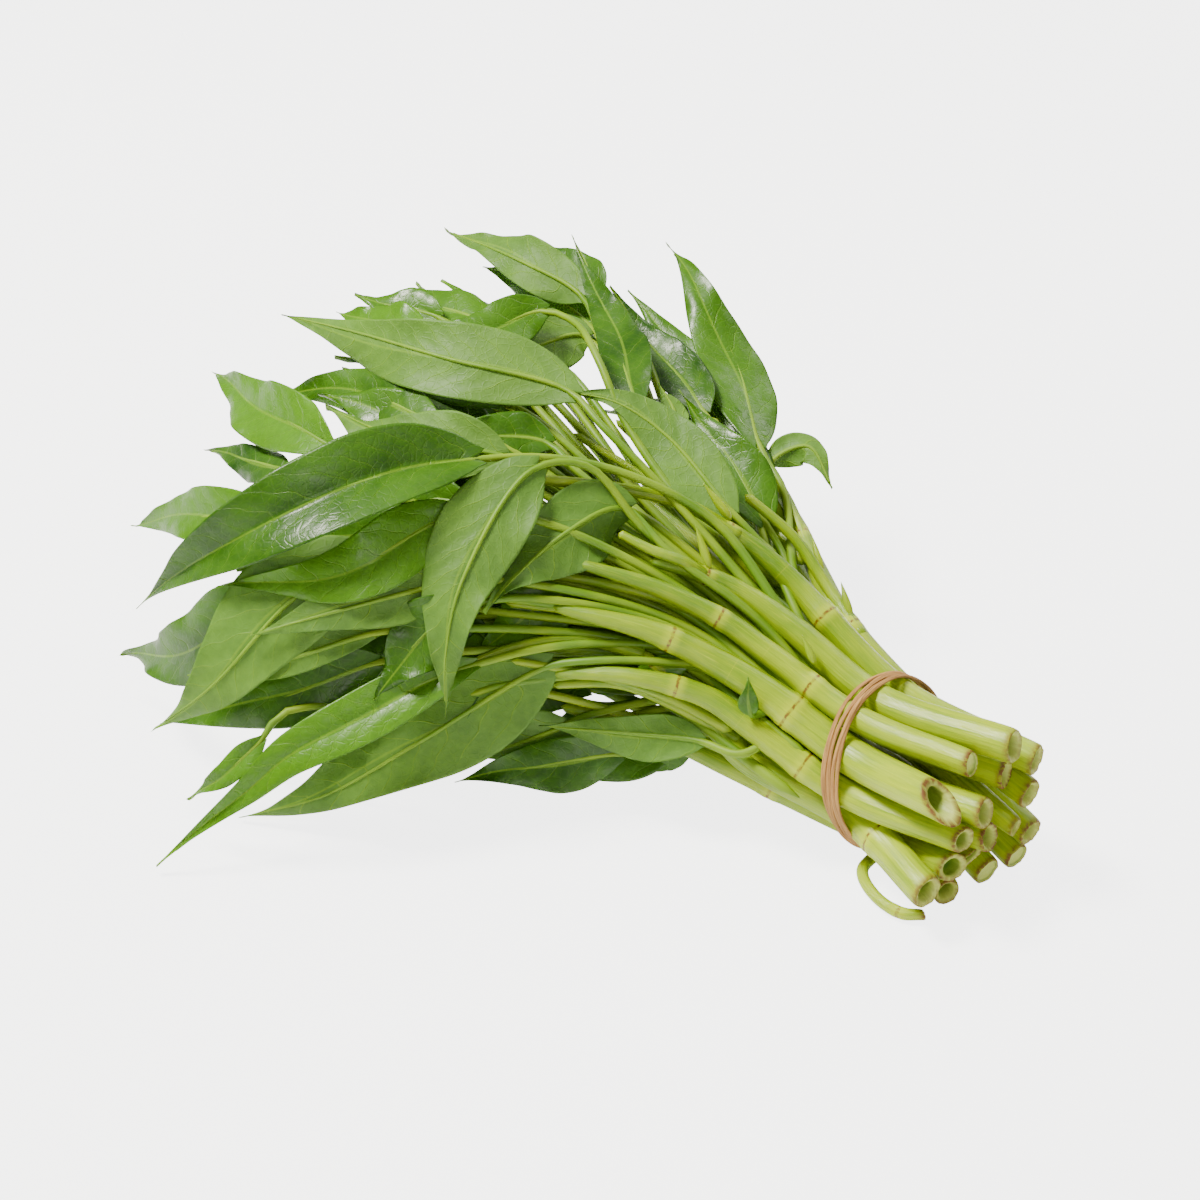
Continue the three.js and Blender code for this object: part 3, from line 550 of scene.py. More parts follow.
def stem_material(s, mottle):
    """Moist stem: pale near the cut, greener toward the leaves, with long fine streaks, brown
    joint rings and cut rims, and paler flesh inside. Toward the bottom of a deep bore the
    flesh darkens to the stem green, which is painted shade."""
    material, g = new_material("Stem")
    grain = g.attribute("grain", "Vector")
    marks = g.node("ShaderNodeSeparateXYZ", {0: g.attribute("marks", "Vector")}).outputs
    green = g.attribute("green", "Fac")
    stretched = g.node("ShaderNodeMapping", {"Vector": grain, "Scale": (1.0, 1.0, 0.035)}).outputs[0]
    streak = g.noise(stretched, 1.1, 4.0, 0.6)
    fine = g.noise(stretched, 3.4, 2.0, 0.5)
    m = g.node("ShaderNodeGroup", {"Place": grain, "Size": 0.06}, node_tree=mottle).outputs
    body = g.mix(green, rgba(s.stem_light), rgba(s.stem_green))
    body = g.mix(g.ramp(streak, 0.42, 0.7, 0.0, 0.55), body, rgba(s.stem_green))
    body = g.mix(g.ramp(fine, 0.5, 0.75, 0.0, 0.4), body, rgba(s.stem_pale))
    body = g.mix(g.math("MULTIPLY", m["Patches"], 0.25), body, rgba(s.stem_pale))
    spots = g.ramp(g.noise(grain, 0.55, 5.0, 0.7), 0.68, 0.76, 0.0, 0.45)
    body = g.mix(spots, body, rgba(s.scar))
    # Painted shade: the cut flesh darkens to the stem green toward the bottom of a deep bore.
    inside = g.mix(marks[2], rgba(s.stem_green), rgba(s.flesh))
    body = g.mix(marks[1], body, inside)
    patchy = g.ramp(g.noise(grain, 0.7, 3.0, 0.6), 0.35, 0.6)
    off = g.math("ADD", g.attribute("joint", "Fac"), g.math("MULTIPLY", m["Mottle"], 0.9))
    off = g.math("ABSOLUTE", g.math("SUBTRACT", off, 0.45))
    body = g.mix(g.ramp(off, 3.5, 0.6, 0.0, 0.5), body, rgba(s.stem_pale))
    ring = g.math("MULTIPLY", g.ramp(off, 0.62, 0.22), g.ramp(patchy, 0.0, 1.0, 0.3, 0.95))
    rim = g.math("MULTIPLY", marks[0], g.ramp(patchy, 0.0, 1.0, 0.45, 1.0))
    colour = g.mix(g.math("MAXIMUM", ring, rim), body, rgba(s.scar))
    relief = g.math("ADD", g.math("MULTIPLY", streak, 0.7), g.math("MULTIPLY", fine, 0.3))
    bump = g.node("ShaderNodeBump", {"Height": relief, "Distance": 0.0006,
                                     "Strength": 0.5}).outputs[0]
    shine = g.math("ADD", 0.26, g.math("MULTIPLY", marks[0], 0.35))
    shine = g.math("ADD", shine, g.math("MULTIPLY", m["Mottle"], 0.12))
    surface = g.node("ShaderNodeBsdfPrincipled", {
        "Base Color": colour, "Roughness": shine, "Normal": bump, "Subsurface Weight": 0.08,
        "Specular IOR Level": 0.4,
        "Subsurface Radius": (0.5, 1.0, 0.2), "Subsurface Scale": 0.003}).outputs[0]
    g.node("ShaderNodeOutputMaterial", {"Surface": surface})
    return material


def tie_material(s):
    """Dry split fibre: tan, with long darker and lighter threads along each strand."""
    material, g = new_material("Fibre")
    grain = g.attribute("grain", "Vector")
    long = g.node("ShaderNodeMapping", {"Vector": grain, "Scale": (1.0, 1.0, 0.03)}).outputs[0]
    thread = g.noise(long, 3.0, 4.0, 0.65)
    broad = g.noise(grain, 0.09, 2.0)
    colour = g.mix(g.ramp(thread, 0.3, 0.7), rgba(s.tie_dark), rgba(s.tie_light))
    colour = g.mix(g.ramp(broad, 0.4, 0.7, 0.0, 0.5), colour, rgba(s.tie_dark))
    bump = g.node("ShaderNodeBump", {"Height": thread, "Distance": 0.0005,
                                     "Strength": 0.9}).outputs[0]
    surface = g.node("ShaderNodeBsdfPrincipled", {
        "Base Color": colour, "Roughness": 0.75, "Normal": bump}).outputs[0]
    g.node("ShaderNodeOutputMaterial", {"Surface": surface})
    return material


def materials(s):
    """The three materials of the bunch, made once."""
    if "Leaf" not in bpy.data.materials:
        veins, mottle = vein_group(), blotch_group()
        leaf_material(s, veins, mottle)
        stem_material(s, mottle)
        tie_material(s)
    return bpy.data.materials


# ---- stems ---------------------------------------------------------------
def loop_x(y, z):
    """X of the loop's plane: its middle, plus the yaw times Y and the lean times the height."""
    return TIE_BACK + TIE_YAW * y + TIE_LEAN * (z - TIE_HEIGHT)


def pack_layer(radii, reach, turn):
    """Centres of circles side by side inside a circle: the angle between two neighbours is
    that of the triangle with their reaches as two sides and their touching distance as the
    third, and what is left of the full turn is shared out evenly."""
    r = np.asarray(radii)
    a, b = reach - r, reach - np.roll(r, -1)
    apart = r + np.roll(r, -1) + GAP
    step = np.arccos((a * a + b * b - apart * apart) / (2 * a * b))
    step += (2 * math.pi - step.sum()) / len(r)
    angle = turn + np.r_[0, np.cumsum(step)[:-1]]
    return np.stack([a * np.sin(angle), TIE_HEIGHT + a * np.cos(angle)], -1)


def stem_places():
    """Where each stem crosses the loop, as (Y, Z) in millimetres by name."""
    places = {}
    for layer, reach, turn in ((0, TIE_RADIUS - GAP, 0.07), (1, INNER_REACH, 0.1)):
        rows = [row for row in STEMS if row[2] == layer]
        found = pack_layer([row[1] for row in rows], reach, turn)
        places.update({row[0]: tuple(at) for row, at in zip(rows, found)})
    return places


def stem_surface(row, place, seed, sides, stations):
    """A tube along the stem's curve. Its radius falls from the cut to the tip, swells by a
    bell of 6% at every joint, and is ribbed by low waves round it. The cut leans by its
    slope times the height over the axis, fading into the stem, and a bore turns back in.
    The walls of a deep bore are painted darker toward its bottom as shade."""
    name, radius, _, cut, points = row
    rng = np.random.default_rng(seed)
    y, z = place
    fine = curve([*cut, [loop_x(y, z), y, z], *points], 600)
    pick = np.linspace(0, 1, stations) ** 1.35 * 599
    line = np.stack([np.interp(pick, np.arange(600), fine[:, k]) for k in range(3)], -1)
    run = np.r_[0, np.cumsum(np.linalg.norm(np.diff(line, axis=0), axis=1))]
    share = run / run[-1]
    base = radius + (STEM_END - radius) * np.clip((share - 0.25) / 0.75, 0, 1) ** 1.8
    joint = np.full(stations, 99.0)
    swell = np.zeros(stations)
    for x in JOINTS[name]:
        d = run - np.interp(-x, -line[:, 0], run)
        joint = np.where(np.abs(d) < np.abs(joint), d, joint)
        swell += 0.11 * np.exp(-(d / 3.0) ** 2) - 0.05 * np.exp(-(d / 0.8) ** 2)
    line[:, 2] = np.maximum(line[:, 2], GROUND + base)
    slope, face, crush, depth = CUTS.get(name, PLAIN_CUT)
    turn = np.linspace(0, 2 * math.pi, sides, endpoint=False)
    ribs = 1 + 0.012 * np.sin(9 * turn + rng.uniform(0, 6)) + 0.010 * np.sin(5 * turn + 1.0)
    mouth = np.exp(-run / 9.0)[:, None]
    dent = 1 - crush * mouth * (0.5 + 0.5 * np.cos(2 * turn + rng.uniform(0, 6)))
    size = (base * (1 + swell))[:, None] * ribs * dent
    size = size * (1 - 0.05 * np.exp(-run / 0.6))[:, None]
    size = size * smooth_step((run[-1] - run) / 2.5 + 0.2)[:, None]
    rings, _ = rings_along(line, size, sides)
    along = unit(np.gradient(line, axis=0))
    lean = slope * radius * np.cos(turn - math.radians(90 - face))
    lean = lean + 0.09 * rng.standard_normal(sides)
    reach = max(1.3, 1.45 * slope) * radius
    rings += along[:, None] * (lean * np.exp(-run / reach)[:, None])[..., None]
    step = np.array([0.04, 0.3, 1.0])
    hole = rings[0].mean(0)
    start = rings[0] - hole
    share_in = 0.66 if depth > 3 else 0.84
    bore = [hole + start * 0.93 - along[0] * 0.25]
    bore += [hole + start * share_in * (1 - 0.12 * k) + along[0] * depth * k for k in step]
    rings = np.concatenate([rings[::-1], np.array(bore)])
    count = len(bore)
    m, n = rings.shape[:2]
    length = np.r_[run[::-1], -0.3 * np.arange(1, count + 1)]
    grain = np.stack([
        np.broadcast_to(5 * np.cos(turn), (m, n)), np.broadcast_to(5 * np.sin(turn), (m, n)),
        np.broadcast_to((length + 50 * seed)[:, None], (m, n))], -1)
    ripe = 0.75 + 0.5 * rng.random()
    brown = np.r_[(np.exp(-(run / 1.3) ** 2)[::-1]) * ripe, 0.9 * ripe, 0.22, 0.10, 0.0]
    inside = np.r_[np.zeros(stations), 0.6, 1, 1, 1]
    # Painted shade: in a deep bore this share of pale flesh falls to 0 at the bottom, which shows the dark
    # stem green; a shallow pith stays pale.
    pale = np.r_[np.zeros(stations), 1, 0.9, 0.35, 0.0 if depth > 3 else 1.0]
    marks = np.broadcast_to(np.stack([brown, inside, pale], -1)[:, None], (m, n, 3))
    green = smooth_step(np.r_[share[::-1], np.zeros(count)] * 1.25 - 0.1)
    green = np.broadcast_to((green * 0.85 + 0.15 * rng.random())[:, None], (m, n))
    joint = np.broadcast_to(np.r_[joint[::-1], np.full(count, 99.0)][:, None], (m, n))
    return skin(rings, {"grain": grain, "marks": marks, "green": green, "joint": joint})


def shoot_surface(points, radius, seed, sides, stations):
    """A thin tube that narrows to 70% along its curve and swells a little near its start."""
    line = curve(points, stations)
    share = np.linspace(0, 1, stations)
    size = radius * (1 - 0.3 * share) * (1 + 0.2 * np.exp(-share / 0.04))
    size = size * smooth_step(np.minimum(share, 1 - share) * 30 + 0.25)
    rings, turn = rings_along(line, np.repeat(size[:, None], sides, 1), sides)
    m, n = rings.shape[:2]
    grain = np.stack([
        np.broadcast_to(3 * np.cos(turn), (m, n)), np.broadcast_to(3 * np.sin(turn), (m, n)),
        np.broadcast_to((share * 60 + 40 * seed)[:, None], (m, n))], -1)
    green = np.full((m, n), 0.8)
    return skin(rings, {"grain": grain, "marks": np.zeros((m, n, 3)), "green": green,
                        "joint": np.full((m, n), 99.0)})


# ---- leaves --------------------------------------------------------------
def stalk_roots(first):
    """Two points that carry a stalk back into the bundle. Both are drawn toward the middle
    line of the bunch: one lies among the stems behind the tie, the other halfway along, so
    the stalk stays inside the bunch until it turns out to its leaf."""
    x, y, z = first
    root = [-20.0, 0.30 * y, TIE_HEIGHT + 0.33 * (z - 48)]
    way = [0.5 * (root[0] + x), 2 + 0.36 * (y - 2), 44 + 0.5 * (z - 48)]
    return [root, way]


def leaf_surfaces(row, seed, across, stations):
    """A blade and its stalk. The half width at share s of the blade is W/2 (s/p)^a
    ((1-s)/(1-p))^b with its widest point at p = a/(a+b). The two halves fold up by the fold
    angle, the edges roll and wave, and the base corners reach back toward the stalk. The
    stalk and midrib are one round tapering rod under the blade."""
    name, width, fold, look, showing_under, start, points = row
    rng = np.random.default_rng(seed)
    points = stalk_roots(points[0]) + points
    start += 2
    whole = curve(points, 600)
    run = np.r_[0, np.cumsum(np.linalg.norm(np.diff(whole, axis=0), axis=1))]
    first = int(np.argmin(np.linalg.norm(whole - np.asarray(points[start]), axis=1)))
    length = run[-1] - run[first]
    s = np.linspace(0, 1, stations) ** 0.92
    at = run[first] + s * length
    mid = np.stack([np.interp(at, run, whole[:, k]) for k in range(3)], -1)
    along = unit(np.gradient(mid, axis=0))
    look = unit(np.asarray(look, float))
    turn = math.radians(rng.uniform(-26, 26)) * (s - 0.4) * 2
    top = unit(look - (along @ look)[:, None] * along)
    right = np.cross(along, top)
    top, right = (top * np.cos(turn)[:, None] + right * np.sin(turn)[:, None],
                  right * np.cos(turn)[:, None] - top * np.sin(turn)[:, None])
    sway = 0.09 * length * s * (1 - s) * np.sin(2 * math.pi * 0.8 * s + rng.uniform(0, 6))
    mid = mid + right * sway[:, None]
    if showing_under:
        top, right = -top, -right
    rise, fall = 0.62, 1.55
    peak = rise / (rise + fall)
    shape = (s / peak) ** rise * ((1 - s) / (1 - peak)) ** fall
    half = np.maximum(width / 2 * shape, 0.15)
    half[0] = half[1] * 0.62
    u = np.linspace(-1, 1, across)
    u = np.sign(u) * np.abs(u) ** 0.85
    angle = math.radians(fold)
    x = u * half[:, None]
    ax = np.abs(x)
    phase = rng.uniform(0, 6, 4)
    ruffle = width * 0.055 * (0.6 + 0.8 * rng.random())
    wave = ruffle * np.abs(u) ** 2.4 * np.sin(
        2 * math.pi * (1.7 + rng.random()) * s[:, None] + phase[0] + 1.9 * (u > 0))
    wave += ruffle * 0.18 * np.abs(u) ** 3 * np.sin(
        2 * math.pi * 6.5 * s[:, None] + phase[1] + 2.4 * (u > 0))
    wave *= smooth_step(s * 6)[:, None]
    roll = -(0.10 + 0.16 * rng.random()) * ax ** 2 / (width / 2)
    spacing = 8.0 + 2.0 * rng.random()
    distance = s[:, None] * length
    veins = (distance - 0.9 * ax - 0.04 * ax ** 2) / spacing + 0.22 * np.tanh(x / 2)
    veins = veins + 0.22 * np.sin(distance / 9 + phase[2] + 0.5 * np.sign(x))
    veins = veins + 0.06 * np.sin(ax * 0.9 + distance * 0.23 + phase[3])
    quilt = 0.05 * np.cos(2 * math.pi * veins) * smooth_step(ax / 3) * smooth_step(2.2 - 2 * np.abs(u))
    lift = ax * math.sin(angle) + roll + wave - quilt
    lobe = 0.17 * width * np.abs(u) ** 1.6 * ((1 - s) ** 9)[:, None]
    mid_sheet = (mid[:, None] + right[:, None] * (x * math.cos(angle))[..., None]
                 + top[:, None] * lift[..., None] - along[:, None] * lobe[..., None])
    half_thick = 0.26 - 0.16 * np.abs(u) ** 3
    upper = mid_sheet + top[:, None] * half_thick[:, None]
    lower = mid_sheet - top[:, None] * half_thick[:, None]
    rings = np.concatenate([upper, lower[:, ::-1]], 1)
    rings[..., 2] = np.maximum(rings[..., 2], GROUND + 0.3 * np.abs(rings[..., 2]) / 40)
    twice = lambda field: np.concatenate([field, field[:, ::-1]], 1)
    m, n = rings.shape[:2]
    under = np.broadcast_to(np.r_[np.zeros(across), np.ones(across)], (m, n))
    drawn = rng.random()
    # Per-leaf tone: the leaf's age, and for the listed leaves also painted light.
    youth_and_light = np.full((m, n), YOUTH_AND_LIGHT.get(name, drawn))
    along_share = np.broadcast_to(s[:, None], x.shape)
    seeds = seed * 37.0
    flat = np.stack([x, np.broadcast_to(distance, x.shape), np.full(x.shape, seeds)], -1)
    blade = skin(rings, {
        "leaf": twice(np.stack([x, veins, along_share], -1)),
        "tone": np.stack([youth_and_light, under, np.zeros((m, n))], -1),
        "place": twice(flat)})
    rod_at = np.r_[np.linspace(0, run[first], 30, endpoint=False),
                   run[first] + np.linspace(0, 0.93, 30) * length]
    rod = np.stack([np.interp(rod_at, run, whole[:, k]) for k in range(3)], -1)
    on = np.clip((rod_at - run[first]) / length, 0, 1)
    size = np.where(rod_at < run[first], 1.05 + 0.6 * (1 - rod_at / run[first]),
                    0.72 * (1 - on) ** 0.9 + 0.14) * smooth_step(rod_at / 1.5 + 0.25)
    drop = np.stack([np.interp(on, s, top[:, k]) for k in range(3)], -1)
    rod = rod - drop * (0.30 * smooth_step((rod_at - run[first]) / 6 + 0.5) * size)[:, None]
    rod[:, 2] = np.maximum(rod[:, 2], GROUND + size)
    tube, turn = rings_along(rod, np.repeat(size[:, None], 10, 1), 10)
    m, n = tube.shape[:2]
    stalk = np.where(on > 0, 0.35 + 0.65 * np.exp(-on * 6), 1.0)
    stalk_tone = np.broadcast_to(np.stack([np.full(m, 0.5), np.ones(m), stalk], -1)[:, None],
                                 (m, n, 3))
    place = np.stack([np.broadcast_to(np.cos(turn), (m, n)), np.broadcast_to(
        rod_at[:, None], (m, n)), np.full((m, n), seeds)], -1)
    stalk_part = skin(tube, {
        "leaf": np.zeros((m, n, 3)), "tone": stalk_tone, "place": place})
    return [blade, stalk_part]


# How far from the tie the section of the fan is given, in millimetres.
MARKS = (50, 80, 110, 150)


def inner_rows(count, seed):
    """Leaves deep in the bunch. Their bases fill an ellipse round the middle of the fan, with
    the square root of an even share as the distance out, and the ellipse widens with the
    distance from the tie. Each points away from the tie with a small random turn."""
    rng = np.random.default_rng(seed)
    rows = []
    for k in range(count):
        reach = 58 + 116 * ((k * 0.618) % 1.0)
        off, turn = math.sqrt((k * 0.755 + 0.2) % 1.0), 2 * math.pi * ((k * 0.382) % 1.0)
        side = off * math.cos(turn)
        y = np.interp(reach, MARKS, (5, 10, 2, -2)) + side * np.interp(reach, MARKS, (14, 34, 52, 72))
        z = np.interp(reach, MARKS, (40, 48, 54, 54))
        z += off * math.sin(turn) * np.interp(reach, MARKS, (12, 28, 40, 44))
        base = np.array([-reach, y, z])
        aim = unit(np.array([-1.0, 0.55 * side + rng.uniform(-0.2, 0.2), rng.uniform(-0.35, 0.1)]))
        size = rng.uniform(52, 68)
        points = [base - aim * 12 + [0, 0, -2], base, base + aim * size * 0.5 + [0, 0, 3],
                  base + aim * size]
        look = [0.2, side - 0.3, 0.8]
        rows.append([f"inner_leaf_{k:02d}", float(rng.uniform(17, 23)), 12, look, int(k % 4 == 0),
                     1, [[float(v) for v in p] for p in points]])
    return rows


# ---- the tie -------------------------------------------------------------
def strand_surface(k, turns, seed):
    """A flat strand round the bundle. It lies on the loop's circle, drifts sideways by two
    slow sines, and rolls about its own line as it goes; its section is a flat oval."""
    rng = np.random.default_rng(seed)
    stations, sides = 260, 12
    a = np.linspace(0, 2 * math.pi * turns, stations) + math.pi + 0.25 * k
    lane = (-1.9, -0.6, 0.6, 1.9)[k]
    drift = lane * (1 - 0.45 * np.sin(a / 2 + 0.3) ** 2) + 0.45 * np.sin(2.0 * a + 1.7 * k)
    drift = drift + 0.25 * np.sin(5.0 * a + 2.3 * k)
    layer = 0.55 + 0.22 * np.sin(3.0 * a + 1.9 * k)
    radius = TIE_RADIUS - 0.25 + layer
    y, z = radius * np.sin(a), TIE_HEIGHT + radius * np.cos(a)
    line = np.stack([loop_x(y, z) + drift, y, z], -1)
    along = unit(np.gradient(line, axis=0))
    out = unit(np.stack([np.zeros(stations), np.sin(a), np.cos(a)], -1))
    wide = np.cross(along, out)
    roll = 0.35 * np.sin(2.3 * a + k) + 0.2 * np.sin(7 * a + 2 * k)
    flat = wide * np.cos(roll)[:, None] + out * np.sin(roll)[:, None]
    thick = out * np.cos(roll)[:, None] - wide * np.sin(roll)[:, None]
    t = np.linspace(0, 2 * math.pi, sides, endpoint=False)
    breadth = 0.74 * (1 + 0.15 * np.sin(4 * a + k)) * smooth_step(
        np.minimum(np.arange(stations), np.arange(stations)[::-1]) / 6 + 0.25)
    edge = np.sign(np.cos(t)) * np.abs(np.cos(t)) ** 0.8
    rings = (line[:, None] + flat[:, None] * (breadth[:, None] * edge)[..., None]
             + thick[:, None] * (0.42 * np.sin(t) + 0.06 * np.sin(6 * t))[:, None])
    rings[..., 2] = np.maximum(rings[..., 2], 0.0)
    m, n = rings.shape[:2]
    grain = np.stack([np.broadcast_to(edge, (m, n)), np.full((m, n), 9.0 * k + rng.random()),
                      np.broadcast_to((a * TIE_RADIUS)[:, None], (m, n))], -1)
    return skin(rings, {"grain": grain})


def bud_surface(base, tip, radius):
    """A pointed bud: a circle whose radius follows the sine of its share of the length, with
    the widest point low down."""
    base, tip = np.asarray(base, float), np.asarray(tip, float)
    share = np.linspace(0, 1, 18)
    line = base + (tip - base) * share[:, None]
    size = radius * np.sin(math.pi * share ** 0.6) + 0.03
    rings, turn = rings_along(line, np.repeat(size[:, None], 14, 1), 14)
    m, n = rings.shape[:2]
    grain = np.stack([np.broadcast_to(2 * np.cos(turn), (m, n)), np.broadcast_to(
        2 * np.sin(turn), (m, n)), np.broadcast_to((share * 12)[:, None], (m, n))], -1)
    green = np.broadcast_to((0.2 + 0.5 * share)[:, None], (m, n))
    return skin(rings, {"grain": grain, "marks": np.zeros((m, n, 3)), "green": green,
                        "joint": np.full((m, n), 99.0)})


# ---- the add-on ----------------------------------------------------------
def colour(name, default, words):
    return bpy.props.FloatVectorProperty(
        name=name, description=words, default=default, size=3, subtype="COLOR",
        min=0.0, max=1.0)


class BunchSettings(bpy.types.PropertyGroup):
    """Sizes and colours of the bunch."""
    leaf_steps: bpy.props.IntProperty(
        name="Leaf steps", description="Stations along a leaf blade", default=80, min=20, max=160)
    leaf_across: bpy.props.IntProperty(
        name="Leaf columns", description="Columns across a leaf blade, odd", default=25, min=9,
        max=41)
    inner_leaves: bpy.props.IntProperty(
        name="Inner leaves", description="Leaves deep in the bunch", default=94, min=0, max=120)
    light_through: bpy.props.FloatProperty(
        name="Light through leaves", description="Share of light that passes a blade",
        default=0.30, min=0.0, max=1.0, subtype="FACTOR")
    # The young colours also serve as painted light: lit and backlit leaves are given them.
    leaf_dark: colour("Leaf upper side", (0.008, 0.050, 0.001), "Old leaf, glossy side")
    leaf_young_and_lit: colour("Fresh leaf", (0.095, 0.265, 0.0), "Young leaf, glossy side")
    leaf_under: colour("Leaf underside", (0.100, 0.225, 0.030), "Matte side of a leaf")
    under_young_and_lit: colour("Fresh underside", (0.165, 0.345, 0.026), "Matte side of a young leaf")
    vein: colour("Veins", (0.220, 0.400, 0.018), "Midrib and side veins")
    stem_light: colour("Stem", (0.330, 0.440, 0.0), "Stem near the cut")
    stem_green: colour("Stem at the leaves", (0.090, 0.200, 0.0), "Stem near the leaves")
    stem_pale: colour("Stem highlight", (0.500, 0.590, 0.005), "Pale streaks of a stem")
    flesh: colour("Cut flesh", (0.560, 0.640, 0.120), "Pith on a cut face")
    scar: colour("Scars", (0.150, 0.062, 0.008), "Dried cut rims and joint rings")
    tie_light: colour("Tie", (0.600, 0.330, 0.100), "Light threads of the tie")
    tie_dark: colour("Tie shade", (0.270, 0.120, 0.028), "Dark threads of the tie")
    camera_turn: bpy.props.FloatProperty(
        name="Camera turn", description="Angle round the bunch", default=math.radians(35),
        subtype="ANGLE", unit="ROTATION")
    camera_rise: bpy.props.FloatProperty(
        name="Camera height angle", description="Angle over the surface",
        default=math.radians(35), subtype="ANGLE", unit="ROTATION")
    camera_distance: bpy.props.FloatProperty(
        name="Camera distance", description="From the middle of the view", default=0.85,
        subtype="DISTANCE", unit="LENGTH")
    lens: bpy.props.FloatProperty(
        name="Lens", description="Focal length in millimetres", default=87.2, min=20, max=200)


class BUNCH_OT_stems(bpy.types.Operator):
    """Build the hollow cut stems and their side shoots"""
    bl_idname = "bunch.stems"
    bl_label = "Stems"

    def execute(self, context):
        material = materials(context.scene.bunch)["Stem"]
        places = stem_places()
        for k, row in enumerate(STEMS):
            part = stem_surface(row, places[row[0]], k + 1, 28, 110)
            piece("real_" + row[0], [part], material, [row[0]])
        for k, (name, radius, points) in enumerate(SHOOTS):
            piece(name, [shoot_surface(points, radius, k, 12, 40)], material, [])
        return {"FINISHED"}


class BUNCH_OT_buds(bpy.types.Operator):
    """Build the small buds in the joints of the stems"""
    bl_idname = "bunch.buds"
    bl_label = "Buds"

    def execute(self, context):
        material = materials(context.scene.bunch)["Stem"]
        rows = [((-66, -3, 71), (-74, 1, 81), 1.3), ((-70, 14, 77), (-80, 14, 86), 1.4),
                ((-36, 27, 48), (-43, 32, 56), 1.2), ((-52, 37, 52), (-60, 43, 60), 1.1),
                ((-29, -5, 54), (-35, -3, 61), 1.1), ((-50, -21, 38), (-56, -20, 46), 1.0)]
        for k, (base, tip, radius) in enumerate(rows):
            piece(f"bud_{k + 1}", [bud_surface(base, tip, radius)], material, [])
        return {"FINISHED"}


class BUNCH_OT_tie(bpy.types.Operator):
    """Build the twisted fibre tie round the stems"""
    bl_idname = "bunch.tie"
    bl_label = "Tie"

    def execute(self, context):
        material = materials(context.scene.bunch)["Fibre"]
        parts = [strand_surface(k, 1.06, k + 1) for k in range(4)]
        piece("real_tie", parts, material, ["tie"])
        return {"FINISHED"}


class BUNCH_OT_leaves(bpy.types.Operator):
    """Build the large leaves and the small ones between them"""
    bl_idname = "bunch.leaves"
    bl_label = "Leaves"

    def execute(self, context):
        s = context.scene.bunch
        material = materials(s)["Leaf"]
        for k, row in enumerate(LEAVES):
            parts = leaf_surfaces(row, k + 1, s.leaf_across, s.leaf_steps)
            piece("real_" + row[0], parts, material, [row[0]])
        for k, row in enumerate(SMALL_LEAVES):
            parts = leaf_surfaces(row, k + 101, 17, 48)
            piece(row[0], parts, material, [])
        for k, row in enumerate(inner_rows(s.inner_leaves, 5)):
            parts = leaf_surfaces(row, k + 201, 13, 32)
            piece(row[0], parts, material, [])
        return {"FINISHED"}


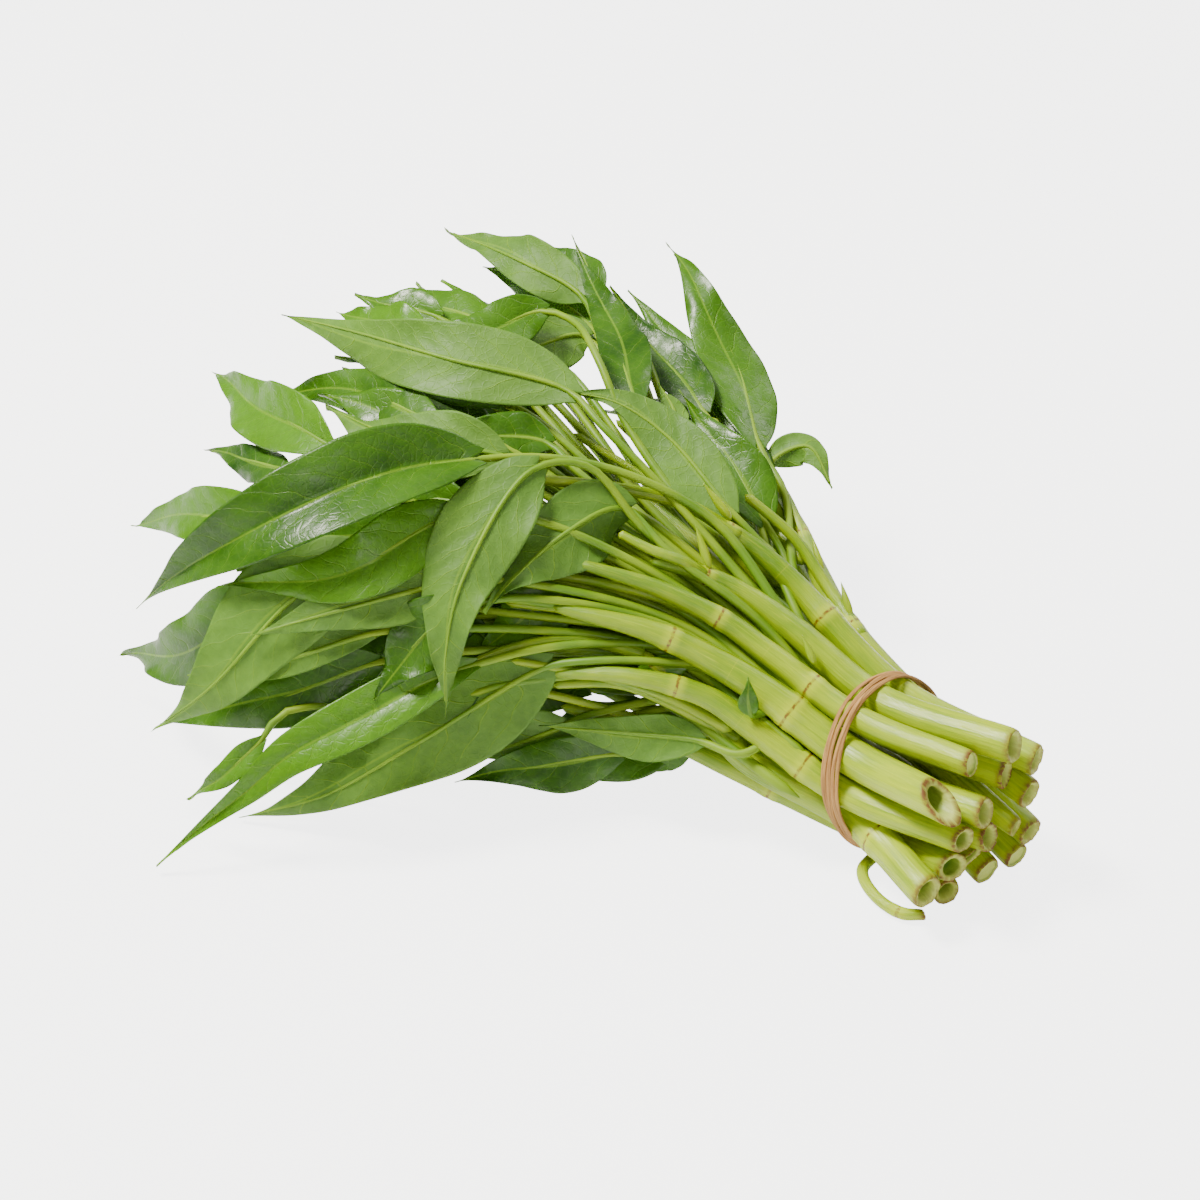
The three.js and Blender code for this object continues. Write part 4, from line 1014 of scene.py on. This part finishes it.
class BUNCH_OT_studio(bpy.types.Operator):
    """Build the floor, the lights and the camera"""
    bl_idname = "bunch.studio"
    bl_label = "Studio"

    def execute(self, context):
        s = context.scene.bunch
        scene = context.scene
        mesh = bpy.data.meshes.new("floor")
        r = 6.0
        mesh.from_pydata([(-r, -r, 0), (r, -r, 0), (r, r, 0), (-r, r, 0)], [], [(0, 1, 2, 3)])
        floor = bpy.data.objects.new("floor", mesh)
        scene.collection.objects.link(floor)
        material, g = new_material("Floor")
        surface = g.node("ShaderNodeBsdfPrincipled", {
            "Base Color": (0.93, 0.93, 0.93, 1.0), "Roughness": 0.9,
            "Specular IOR Level": 0.1, "Emission Color": (1.0, 1.0, 1.0, 1.0),
            "Emission Strength": 0.35}).outputs[0]
        seen = g.node("ShaderNodeLightPath").outputs["Is Camera Ray"]
        glow = g.node("ShaderNodeEmission", {"Strength": 6.5}).outputs[0]
        lit = g.node("ShaderNodeMixShader", {0: g.math("MULTIPLY", seen, 0.6), 1: surface,
                                             2: glow}).outputs[0]
        g.node("ShaderNodeOutputMaterial", {"Surface": lit})
        mesh.materials.append(material)
        world = bpy.data.worlds.new("studio")
        world.use_nodes = True
        world.node_tree.nodes["Background"].inputs[0].default_value = (1, 1, 1, 1)
        world.node_tree.nodes["Background"].inputs[1].default_value = 0.34
        scene.world = world
        for name, at, size, power in (("key", (-0.55, -0.25, 1.0), 0.28, 31.0),
                                      ("fill", (0.8, -0.9, 0.8), 0.6, 6.0),
                                      ("rim", (-0.1, 0.9, 0.8), 0.5, 6.0)):
            light = bpy.data.lights.new(name, "AREA")
            light.size, light.energy = size, power
            light.color = (1.0, 0.97, 0.88)
            lamp = bpy.data.objects.new(name, light)
            lamp.location = at
            lamp.rotation_mode = "QUATERNION"
            back = np.asarray(at) - [-0.09, 0, 0.05]
            lamp.rotation_quaternion = aim(back)
            scene.collection.objects.link(lamp)
        back = np.array([math.sin(s.camera_turn) * math.cos(s.camera_rise),
                         -math.cos(s.camera_turn) * math.cos(s.camera_rise),
                         math.sin(s.camera_rise)])
        data = bpy.data.cameras.new("camera")
        data.lens, data.sensor_width = s.lens, 36.0
        camera = bpy.data.objects.new("camera", data)
        camera.location = np.array([-0.100, -0.009, 0.050]) + back * s.camera_distance
        camera.rotation_mode = "QUATERNION"
        camera.rotation_quaternion = aim(back)
        scene.collection.objects.link(camera)
        scene.camera = camera
        return {"FINISHED"}


def aim(back):
    """The turn that points an object's -Z against the given direction, with Y upward."""
    return (-Vector(back)).to_track_quat("-Z", "Y")


class BUNCH_PT_panel(bpy.types.Panel):
    """Lists the settings and the parts of the bunch"""
    bl_idname = "BUNCH_PT_panel"
    bl_label = "Water Spinach Bunch"
    bl_space_type = "VIEW_3D"
    bl_region_type = "UI"
    bl_category = "Bunch"

    def draw(self, context):
        for name in BunchSettings.__annotations__:
            self.layout.prop(context.scene.bunch, name)
        for operator in OPERATORS:
            self.layout.operator(operator.bl_idname)


OPERATORS = (BUNCH_OT_stems, BUNCH_OT_buds, BUNCH_OT_tie, BUNCH_OT_leaves, BUNCH_OT_studio)
CLASSES = (BunchSettings, *OPERATORS, BUNCH_PT_panel)


def register():
    for one in CLASSES:
        bpy.utils.register_class(one)
    bpy.types.Scene.bunch = bpy.props.PointerProperty(type=BunchSettings)


def unregister():
    del bpy.types.Scene.bunch
    for one in reversed(CLASSES):
        bpy.utils.unregister_class(one)


def main():
    register()
    bpy.ops.bunch.stems()
    bpy.ops.bunch.buds()
    bpy.ops.bunch.tie()
    bpy.ops.bunch.leaves()
    bpy.ops.bunch.studio()


if __name__ == "__main__":
    main()
